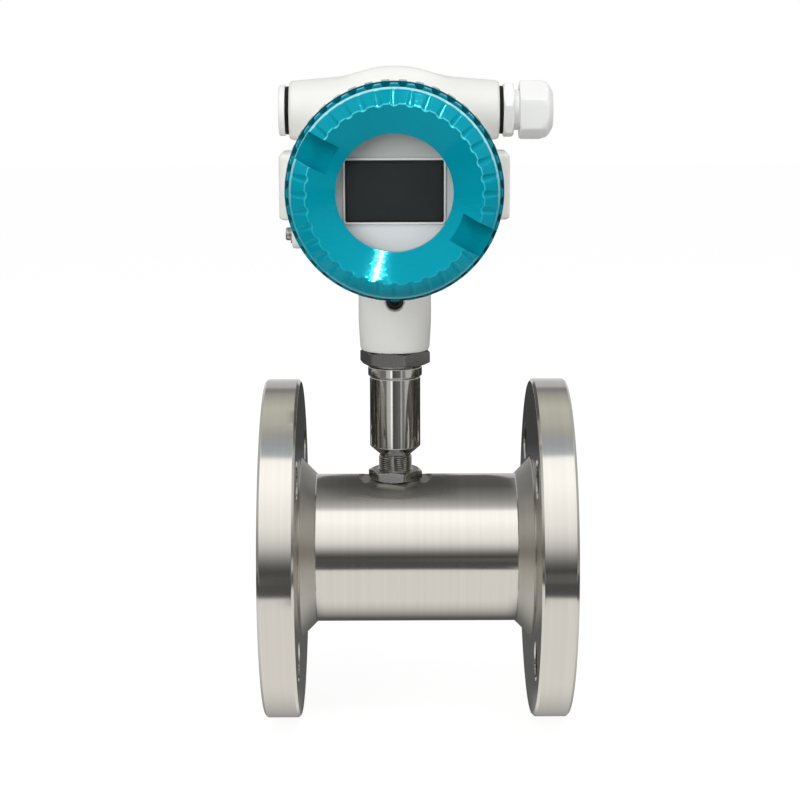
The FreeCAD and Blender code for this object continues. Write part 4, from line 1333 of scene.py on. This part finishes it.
def gripAngles(c):
    # Finer steps at the edges of the pockets and of the flutes, mirrored about each of them
    around = 2 * math.pi
    pockets = (2 * coverSettings["count"], c["grip"], c["pocketSteps"])
    flutes = (coverSettings["flutes"], c["crest"], c["fluteSteps"])
    angles = set()
    for count, radius, marks in (pockets, flutes):
        for k in range(count):
            for value in marks:
                for side in (-1, 1):
                    angles.add(round((around * k / count + side * value / radius) % around, 5))
    kept = []
    for angle in sorted(angles):
        if not kept or angle - kept[-1] > c["leastTurn"]:
            kept.append(angle)
    return kept


def makeCover(name, node, body, place, inner):
    c = coverShape
    near = c["near"]
    crestPoint = Vector((c["crest"], c["crestAt"]))
    cone = Vector((c["rim"] - c["crest"], c["rimAt"] - c["crestAt"]))
    inward = Vector((cone.y, -cone.x)).normalized()
    funnel = (Vector((c["window"], c["lipAt"])) - crestPoint).normalized()
    crestSlip = funnel / max(0.1, funnel.dot(inward))
    pocketDepth = coverSettings["pocket"] / 2 - coverSettings["pocketLift"]
    piece = lathe(name, gripRows(c) + inner(c) + sealRows(c), gripAngles(c), closed=True)

    def onCrest(r, s):
        return (Vector((r, s)) - crestPoint).length < c["crestNear"]

    # Marks the crest and the rim for the painted highlight
    def paintEdge(r, s):
        onRim = r > c["rim"] - near and s > c["bandEnd"] - c["crestNear"]
        return 1.0 if onCrest(r, s) or onRim else 0.0

    def fluteDepth(r, s):
        # Deepest at the crest, running out towards the rim
        if onCrest(r, s):
            return c["fluteCrest"]
        share = (r - c["crest"]) / cone.x
        onCone = c["rim"] + near > r > c["crest"] - near and s > c["rimAt"] - near
        if not onCone or abs(s - (c["crestAt"] + cone.y * share)) >= near:
            return 0.0
        return c["fluteCrest"] + (c["fluteRim"] - c["fluteCrest"]) * share

    def carveVector(r):
        return crestSlip if r < c["crest"] + near else inward

    def rearPocket(r, s):
        if s > c["rowSplit"] - c["land"] - near or r < c["grip"] - c["gripEdge"] - near:
            return 0.0
        return (r - c["grip"] + pocketDepth) / pocketDepth

    def frontPocket(r, s):
        inRow = c["rowSplit"] + c["land"] + near < s < c["frontEnd"] + near
        if not inRow or r < c["gripFront"] - c["draft"] - c["frontRound"] - near:
            return 0.0
        return (r - c["gripFront"] + pocketDepth) / pocketDepth

    for rule in (paintEdge, fluteDepth, rearPocket, frontPocket):
        mark(piece, rule.__name__, rule)
    mark(piece, "carveAcross", lambda r, s: carveVector(r).x)
    mark(piece, "carveAlong", lambda r, s: carveVector(r).y)
    follow(piece, carveCover, coverSettings, "teal_paint")
    settle(move(piece, place), body, "teal_paint", node, crease=30)
    print(name, len(piece.data.polygons), "faces")


makeCover("flutedFrontCover", "front_cover", "front_cover", frontFrame, frontRows)
makeCover("flutedRearCover", "rear_cover", "rear_cover", rearFrame, rearRows)


# Display behind the window
displaySettings = {
    "plate": 77.0,
    "plateBack": 38.5,
    "plateFace": 40.5,
    "plateRound": 0.3,
    "screwHole": 3.04,
    "bezelTop": 41.3,
    "bezel": 1.0,
    "bezelSink": 0.2,
    "openingWidth": 45.0,
    "openingHeight": 28.2,
    "screenFace": 41.0,
    "screenChamfer": 0.2,
    "screenBack": 35.65,
    "backWidth": 52.0,
    "backEnd": 38.4,
    "corner": 0.8,
}
plateHoles = {"count": 4, "circle": 66.0, "firstAngle": math.radians(45.0)}


def makeDisplay():
    d = displaySettings
    width, height = d["openingWidth"], d["openingHeight"]
    back, face = d["plateBack"], d["plateFace"]
    outer = d["plate"] / 2
    outline = [(0, back), (outer, back, d["plateRound"]), (outer, face, d["plateRound"]), (0, face)]
    plate = lathe("displayPlateDisc", outline, evenAngles(144))
    hole = d["screwHole"] / 2
    ends = (back - cutClear, face + cutClear)
    outline = [(0, ends[0]), (hole, ends[0]), (hole, ends[1]), (0, ends[1])]
    follow(plate, drillRing, plateHoles, "display_plate", lathe("plateCutter", outline, evenAngles(24)))
    carve(plate, slab("openingCutter", width, height, d["corner"], [(0, s) for s in ends]))
    settle(move(plate, frontFrame), "head", "display_plate", "display_plate")
    wide = d["bezel"]
    top = d["bezelTop"]
    foot = face - d["bezelSink"]
    rows = [(0, foot), (0, top - 0.25), (0.12, top - 0.07), (0.3, top)]       # rounded outer edge
    rows += [(wide - 0.25, top), (wide, top - 0.2), (wide, foot)]
    bezel = slab("displayBezel", width + 2 * wide, height + 2 * wide, d["corner"] + wide, rows, closed=True)
    settle(move(bezel, frontFrame), "head", "display_plate", finish="white_plastic")
    ledge = (d["backWidth"] - screenSettings["width"]) / 2
    rows = [(0, d["screenBack"]), (0, d["backEnd"]), (ledge, d["backEnd"])]
    rows += [(ledge, d["screenFace"] - d["screenChamfer"]), (ledge + d["screenChamfer"], d["screenFace"])]
    screen = slab("lcdScreen", d["backWidth"], screenSettings["height"] + 2 * ledge, d["corner"], rows)
    settle(move(screen, frontFrame), "head", "lcd_screen", "lcd_panel")


makeDisplay()
print("display made")


# Cable gland, blind plug and small hardware
glandSettings = {
    "thread": 20.0,
    "threadStart": glandLow.x - stemX,
    "gasketEnd": gasketHigh.x - stemX,
    "flats": 24.0,
    "hexEnd": gasketHigh.x - stemX + 5.0,
    "hexTurn": 20.0,
    "neck": 19.0,
    "neckEnd": glandHigh.x - stemX,
    "bore": 13.6,
    "chamfer": 0.9,
    "cornerTrim": 0.15,
    "bevel": 0.5,
}
glandNutSettings = {
    "flats": 24.6,
    "turn": 8.0,
    "start": glandNutLow.x - stemX,
    "gripEnd": glandNutLow.x - stemX + 10.0,
    "end": glandNutHigh.x - stemX,
    "bulge": (12.45, glandNutHigh.x - stemX - 2.25, 5.0),
    "face": 17.4,
    "faceRound": 1.0,
    "mouth": 12.6,
    "mouthDepth": 3.4,
    "thread": 19.1,
    "threadEnd": glandHigh.x - stemX + 0.3,
    "chamfer": 0.9,
    "cornerTrim": 0.15,
    "bevel": 0.5,
}
gasketSettings = {"inner": 20.2, "innerRound": 0.2, "outer": 22.6, "outerRound": 0.5, "play": 0.02}
plugSettings = {
    "thread": glandSettings["thread"],
    "threadStart": stemX - plugHigh.x,
    "threadRound": 0.5,
    "head": 24.0,
    "headFootRound": 0.3,
    "headTop": stemX - plugLow.x,
    "headRound": 1.0,
    "socketFlats": 10.0,
    "socketReach": 9.0,
    "socketBevel": (0.5, 0.3),
    "socketDepth": 2.2,
}


def makeGasket(name, node, body, place):
    g = gasketSettings
    inner = g["inner"] / 2
    outer = g["outer"] / 2
    top = glandSettings["gasketEnd"] - g["play"]
    outline = [(inner, entryReach, g["innerRound"]), (outer, entryReach, g["outerRound"])]
    outline += [(outer, top, g["outerRound"]), (inner, top, g["innerRound"])]
    settle(move(lathe(name, outline, evenAngles(96), closed=True), place), body, "black_rubber", node)


def makeGlandBody():
    g = glandSettings
    bevel = g["bevel"]
    start, foot, end = g["threadStart"], g["gasketEnd"], g["neckEnd"]
    thread, neck, bore = g["thread"] / 2, g["neck"] / 2, g["bore"] / 2
    rows = [(thread - bevel, start), (thread, start + bevel), (thread, foot)]
    rows += hexRows(g["flats"], foot, g["hexEnd"], g["chamfer"], g["cornerTrim"], 4)
    rows += [(neck, g["hexEnd"]), (neck, end - bevel), (neck - bevel, end), (bore, end), (bore, start)]
    piece = revolve("mouldedGlandBody", rows, evenAngles(hexSegments), True, math.radians(g["hexTurn"]))
    settle(move(piece, glandFrame), "head", "white_plastic", "gland_body", crease=25)


def makeGlandNut():
    g = glandNutSettings
    bevel = g["bevel"]
    start, end = g["start"], g["end"]
    face, mouth, thread = g["face"] / 2, g["mouth"] / 2, g["thread"] / 2
    corner = g["flats"] / math.sqrt(3) - g["cornerTrim"]
    dome = [(corner, g["gripEnd"]), g["bulge"], (face, end, g["faceRound"]), (face - 2, end)]
    rows = [(corner - g["chamfer"] * (1 - t), start + g["chamfer"] * t, g["flats"]) for t in steps(4)]
    rows += [(r, s, g["flats"]) for r, s in roundOutline(dome, False, 8)[:-1]]
    rows += [(mouth + bevel, end), (mouth, end - bevel), (mouth, end - g["mouthDepth"])]
    rows += [(thread, g["threadEnd"]), (thread, start + bevel), (thread + bevel, start)]
    piece = revolve("mouldedGlandNut", rows, evenAngles(hexSegments), True, math.radians(g["turn"]))
    settle(move(piece, glandFrame), "gland_nut", "white_plastic", "gland_nut", crease=25)


def makePlug():
    p = plugSettings
    thread, head = p["thread"] / 2, p["head"] / 2
    foot, top = glandSettings["gasketEnd"], p["headTop"]
    outline = [(0, p["threadStart"]), (thread, p["threadStart"], p["threadRound"]), (thread, foot)]
    outline += [(head, foot, p["headFootRound"]), (head, top, p["headRound"]), (thread - 2, top)]
    inset, drop = p["socketBevel"]
    flats = p["socketFlats"] - inset
    floor = top - p["socketDepth"]
    rows = roundOutline(outline, False, 5) + [(p["socketReach"], top, p["socketFlats"])]
    rows += [(p["socketReach"], top - drop, flats), (p["socketReach"], floor, flats), (0, floor)]
    piece = revolve("mouldedPlug", rows, evenAngles(hexSegments))
    settle(move(piece, plugFrame), "blind_plug", "white_plastic", "blind_plug", crease=25)


earthSettings = {
    "washer": 9.0,
    "washerHole": 4.1,
    "washerThickness": 0.6,
    "washerRound": 0.2,
    "footRound": 0.1,
    "boss": housingSettings["earthReach"],
    "shank": 4.0,
    "shankDepth": 8.0,
    "shankRound": 0.4,
    "head": 6.2,
    "headHeight": 2.4,
    "headRound": 0.9,
    "slotWidth": 0.8,
    "slotDepth": 1.2,
    "segments": 72,
}
lockSettings = {
    "screw": 8.0,
    "tip": 8.8,
    "tipBevel": 0.6,
    "end": 13.8,
    "endBevel": 0.4,
    "socket": 4.0,
    "socketReach": 2.5,
    "socketDepth": 2.66,
    "segments": 72,
}


def makeEarthTerminal():
    e = earthSettings
    angles = evenAngles(e["segments"])
    boss = e["boss"]
    top = boss + e["washerThickness"]
    outer, hole = e["washer"] / 2, e["washerHole"] / 2
    outline = [(hole, boss), (outer, boss, e["footRound"]), (outer, top, e["washerRound"]), (hole, top)]
    washer = lathe("earthWasherRing", outline, angles, closed=True)
    settle(move(washer, earthFrame), "head", "screw_steel", "earth_washer")
    headTop = top + e["headHeight"]
    tip = boss - e["shankDepth"]
    shank, head = e["shank"] / 2, e["head"] / 2
    outline = [(0, tip), (shank, tip, e["shankRound"]), (shank, top), (head, top, e["footRound"])]
    outline += [(head, headTop, e["headRound"]), (0, headTop)]
    screw = lathe("earthScrewHead", outline, angles)
    rows = [(0, headTop - e["slotDepth"]), (0, headTop + cutClear)]
    carve(screw, slab("slotCutter", e["head"] + 2 * cutClear, e["slotWidth"], leastCorner, rows))
    settle(move(screw, earthFrame), "head", "screw_steel", "earth_screw")


def makeLockScrew():
    s = lockSettings
    radius, reach = s["screw"] / 2, s["socketReach"]
    tip, end = s["tip"], s["end"]
    floor = end - s["socketDepth"]
    rows = [(0, tip), (radius - s["tipBevel"], tip), (radius, tip + s["tipBevel"])]
    rows += [(radius, end - s["endBevel"]), (radius - s["endBevel"], end)]
    rows += [(reach, end, s["socket"]), (reach, floor, s["socket"]), (0, floor)]
    piece = revolve("lockScrewSocket", rows, evenAngles(s["segments"]))
    settle(move(piece, lockFrame), "head", "screw_steel", "neck_set_screw", finish="black_oxide")


makeGasket("glandGasketRing", "gland_gasket", "head", glandFrame)
makeGasket("plugGasketRing", "plug_gasket", "plug_gasket", plugFrame)
makeGlandBody()
makeGlandNut()
makePlug()
makeEarthTerminal()
makeLockScrew()
print("gland, plug and hardware made")


# Studio: pale floor, soft lamps, and cards that only mirror-like surfaces see
stageSettings = {
    "floorZ": cadBox[0].z / mm,
    "floorHalf": 4000.0,
    "floorTone": rgb(0.74, 0.73, 0.72),
    "floorShadow": 0.2,
    "floorGlow": 1.155,
    "ambient": 0.46,
    "ambientTone": rgb(0.97, 0.98, 1.0),
    "tentRadius": 1700.0,
}
white = rgb(1, 1, 1)


def seenDirectly(start):
    rays = start.node("ShaderNodeLightPath", out=("Is Camera Ray", "Is Glossy Ray", "Is Transmission Ray"))
    return least(rays[0] + rays[1] + rays[2], 1.0)


def bareTree(holder):
    # Empties the tree of a world or of a material
    holder.use_nodes = True
    holder.node_tree.nodes.clear()
    return Link(holder.node_tree)


def bareMaterial(piece, name):
    material = bpy.data.materials.new(name)
    piece.data.materials.append(material)
    return bareTree(material)


def makeWorld(s):
    world = bpy.data.worlds.new("studioWorld")
    bpy.context.scene.world = world
    start = bareTree(world)
    soft = start.node("ShaderNodeBackground", values={"Color": s["ambientTone"], "Strength": s["ambient"]})
    plain = start.node("ShaderNodeBackground", values={"Color": white, "Strength": 1.0})
    mixed = start.node("ShaderNodeMixShader", values={0: seenDirectly(start), 1: soft, 2: plain})
    mixed.node("ShaderNodeOutputWorld", values={"Surface": mixed}, out=None)


def glow(start, tone, strength):
    return start.node("ShaderNodeEmission", values={"Color": tone, "Strength": strength})


def surface(shader):
    shader.node("ShaderNodeOutputMaterial", values={"Surface": shader}, out=None)


def sheet(name, left, right, front, back, z):
    corners = [(left, front, z), (right, front, z), (right, back, z), (left, back, z)]
    return solid(name, corners, [(0, 1, 2, 3)])


def makeFloor(s):
    half = s["floorHalf"]
    floor = move(sheet("studioFloor", -half, half, -half, half, s["floorZ"]), Matrix.Scale(mm, 4))
    start = bareMaterial(floor, "paleFloor")
    matte = start.node("ShaderNodeBsdfDiffuse", values={"Color": s["floorTone"]})
    share = seenDirectly(start) * (1 - s["floorShadow"])
    values = {0: share, 1: matte, 2: glow(start, white, s["floorGlow"])}
    surface(start.node("ShaderNodeMixShader", values=values))


def mirrorOnly(piece, tone, strength):
    # Glows for mirror-like surfaces alone
    move(piece, Matrix.Scale(mm, 4))
    surface(glow(tone, tone, strength))
    for kind in ("camera", "diffuse", "transmission", "volume_scatter", "shadow"):
        setattr(piece, "visible_" + kind, False)


def degreesRound(x, y):
    # Bearing from the stem, 0 towards the camera
    return (x - stemX).maths("ARCTAN2", -y) * (180 / math.pi)


def toneRamp(link, panels):
    low, high = panels[0][0], panels[-1][0]
    stops = [((value - low) / (high - low), level) for value, level in panels]
    return link.node("ShaderNodeValToRGB", {"stops": stops}, {0: (link - low) / (high - low)})


# Panels are (bearing in degrees, level)
floorCard = {
    "lift": 0.6,
    "inner": 250.0,
    "innerBeside": 322.0,
    "innerFade": 8.0,
    "besideFrom": (64.0, 69.0),
    "ringTone": rgb(0.06, 0.06, 0.065),
    "panelsFrom": (570.0, 650.0),
    "panels": [(-180, 0.04), (-105, 0.04), (-97, 0.19), (-68, 0.21), (-62, 0.14), (-41, 0.14), (-36, 0.43),
               (-20.5, 0.46), (-19, 1.0), (-12.4, 1.0), (-11, 0.065), (0, 0.07), (3, 0.09), (23.5, 0.13),
               (25.5, 0.42), (30, 0.42), (32, 0.17), (42, 0.17), (46, 0.4), (83, 0.45), (88, 0.2), (97, 0.2),
               (99, 0.45), (104, 0.45), (106, 0.03), (180, 0.03)],
    "apron": rgb(0.63, 0.625, 0.615),
    "apronShade": rgb(0.07, 0.07, 0.07),
    "flangeFrom": (46.0, 56.0),
    "tubeShade": (-50.0, 35.0),
    "flangeShade": (-70.0, 0.0),
    "strength": 1.6,
}


def makeFloorCard(s, f):
    # Pale apron that is shaded under the metal, then a dark ring with bright panels far out
    height = s["floorZ"] + f["lift"]
    inner = f["inner"]
    outline = [(0.0, height), (inner, height), (s["tentRadius"], height)]
    card = move(lathe("floorCard", outline, evenAngles(96)), stemFrame)
    x, y, z = axes(objectSpot(bareMaterial(card, "cardBearing")))
    across = length2(x - stemX, y)
    panels = toneRamp(degreesRound(x, y), f["panels"])
    ring = mixColor(smoothStep(across, *f["panelsFrom"]), f["ringTone"], panels)
    beside = abs(x - tubeMiddle)
    atFlange = smoothStep(beside, *f["flangeFrom"])
    shaded = (1 - atFlange) * smoothStep(y, *f["tubeShade"]) + atFlange * smoothStep(y, *f["flangeShade"])
    apron = mixColor(shaded, f["apron"], f["apronShade"])
    wider = smoothStep(beside, *f["besideFrom"]) * (f["innerBeside"] - inner)
    tone = mixColor(smoothStep(across - wider, inner - f["innerFade"], inner + f["innerFade"]), apron, ring)
    mirrorOnly(card, tone, f["strength"])


# Panels are (distance behind the tube's axis, level)
shadeCard = {
    "height": 121.0,
    "front": -58.0,
    "back": 420.0,
    "overhang": 7.0,
    "panels": [(-58, 0.9), (-50, 0.6), (-40, 0.42), (-16, 0.25), (6, 0.17), (44, 0.088), (140, 0.09)],
    "strength": 1.5,
}


def makeShadeCard(f):
    # Lies between tube and head, so that the top of the tube mirrors a dark gradient
    left, right = tubeLow.x - f["overhang"], tubeHigh.x + f["overhang"]
    card = sheet("shadeCard", left, right, f["front"], f["back"], f["height"])
    x, y, z = axes(objectSpot(bareMaterial(card, "shadeCloth")))
    mirrorOnly(card, toneRamp(y, f["panels"]), f["strength"])


# Panels are (elevation in degrees, level or colour)
lightTent = {
    "front": [(-10, 0.035), (-1, 0.045), (3, 0.11), (8, 0.26), (13, 0.48), (19, 0.68), (28, 0.84), (42, 0.94),
              (55, 1.05), (73, 1.05), (74.5, (0.37, 0.41, 0.45)), (84, (0.31, 0.34, 0.38)), (90, 0.33)],
    "back": [(-10, 0.52), (3, 0.5), (16, 0.42), (29, 0.4), (31, 0.2), (36, 0.2), (41, 0.3),
             (50, (0.4, 0.4, 0.36)), (60, (0.484, 0.5, 0.44)), (75, (0.45, 0.45, 0.41)),
             (85, 0.33), (90, 0.33)],
    "frontEnd": (75.0, 110.0),
    "strength": 1.5,
    "segments": 96,
}


def makeTent(s, f):
    # Softbox in front, greyer overhead and at the back, dark below eye level in front
    radius = s["tentRadius"]
    angles = evenAngles(f["segments"])
    quarter = angles[:f["segments"] // 4]
    outline = [(radius * math.cos(a), s["floorZ"] + radius * math.sin(a)) for a in quarter]
    tent = move(lathe("lightTent", outline + [(0.0, s["floorZ"] + radius)], angles), stemFrame)
    x, y, z = axes(objectSpot(bareMaterial(tent, "tentCloth")))
    elevation = z.maths("ARCTAN2", length2(x - stemX, y)) * (180 / math.pi)
    ahead = smoothFall(abs(degreesRound(x, y)), *f["frontEnd"])
    tone = mixColor(ahead, toneRamp(elevation, f["back"]), toneRamp(elevation, f["front"]))
    mirrorOnly(tent, tone, f["strength"])


lampSettings = {
    "key": {"aim": (0.2, -0.43, 0.88), "reach": 1200.0, "size": (250.0, 350.0), "power": 4.6},
    "glint": {"aim": (0.2, -0.43, 0.88), "reach": 1200.0, "size": (46.0, 120.0), "power": 19.0},
    "front": {"aim": (-0.45, -0.85, 0.30), "reach": 1500.0, "size": (900.0, 900.0), "power": 8.0},
    "side": {"aim": (0.92, -0.25, 0.30), "reach": 1400.0, "size": (700.0, 700.0), "power": 2.0},
    "rear": {"aim": (-0.3, 0.85, 0.45), "reach": 1400.0, "size": (800.0, 800.0), "power": 3.5},
}


def makeLamps():
    # The glint is mirrored in the front cover alone, the other lamps are not mirrored at all
    target = Vector((stemX, 0, headZ / 2))
    coverOnly = bpy.data.collections.new("coverOnly")
    coverOnly.objects.link(bpy.data.objects["flutedFrontCover"])
    for name, choice in lampSettings.items():
        lamp = bpy.data.lights.new(name + "Lamp", "AREA")
        lamp.shape = "RECTANGLE"
        lamp.size = choice["size"][0] * mm
        lamp.size_y = choice["size"][1] * mm
        lamp.energy = choice["power"]
        holder = bpy.data.objects.new(name + "Lamp", lamp)
        aim = Vector(choice["aim"]).normalized()
        holder.location = (target + aim * choice["reach"]) * mm
        holder.rotation_mode = "QUATERNION"
        holder.rotation_quaternion = aim.to_track_quat("Z", "Y")
        bpy.context.scene.collection.objects.link(holder)
        holder.visible_glossy = name == "glint"
        holder.visible_diffuse = name != "glint"
        if name == "glint":
            holder.light_linking.receiver_collection = coverOnly


cameraSettings = {
    "place": (64.3, -943.8, 249.8),
    "yaw": 0.00325,
    "pitch": 0.1848,
    "roll": -0.003,
    "focal": 1982.0 / 800.0,        # in widths of the picture
}


def makeCamera():
    c = cameraSettings
    yaw, pitch, roll = c["yaw"], c["pitch"], c["roll"]
    ahead = Vector((math.sin(yaw) * math.cos(pitch), math.cos(yaw) * math.cos(pitch), -math.sin(pitch)))
    level = Vector((math.cos(yaw), -math.sin(yaw), 0))
    upright = level.cross(ahead)
    right = math.cos(roll) * level + math.sin(roll) * upright
    upward = -math.sin(roll) * level + math.cos(roll) * upright
    lens = bpy.data.cameras.new("photoCamera")
    lens.sensor_width = 36.0
    lens.lens = c["focal"] * lens.sensor_width
    lens.clip_start = 0.05
    lens.clip_end = 50.0
    camera = bpy.data.objects.new("photoCamera", lens)
    place = Matrix((right, upward, -ahead)).transposed().to_4x4()
    place.translation = Vector(c["place"]) * mm
    camera.matrix_world = place
    bpy.context.scene.collection.objects.link(camera)
    bpy.context.scene.camera = camera


makeWorld(stageSettings)
makeFloor(stageSettings)
makeFloorCard(stageSettings, floorCard)
makeShadeCard(shadeCard)
makeTent(stageSettings, lightTent)
makeLamps()
makeCamera()
bpy.context.scene.view_settings.view_transform = "Standard"
print("studio made")
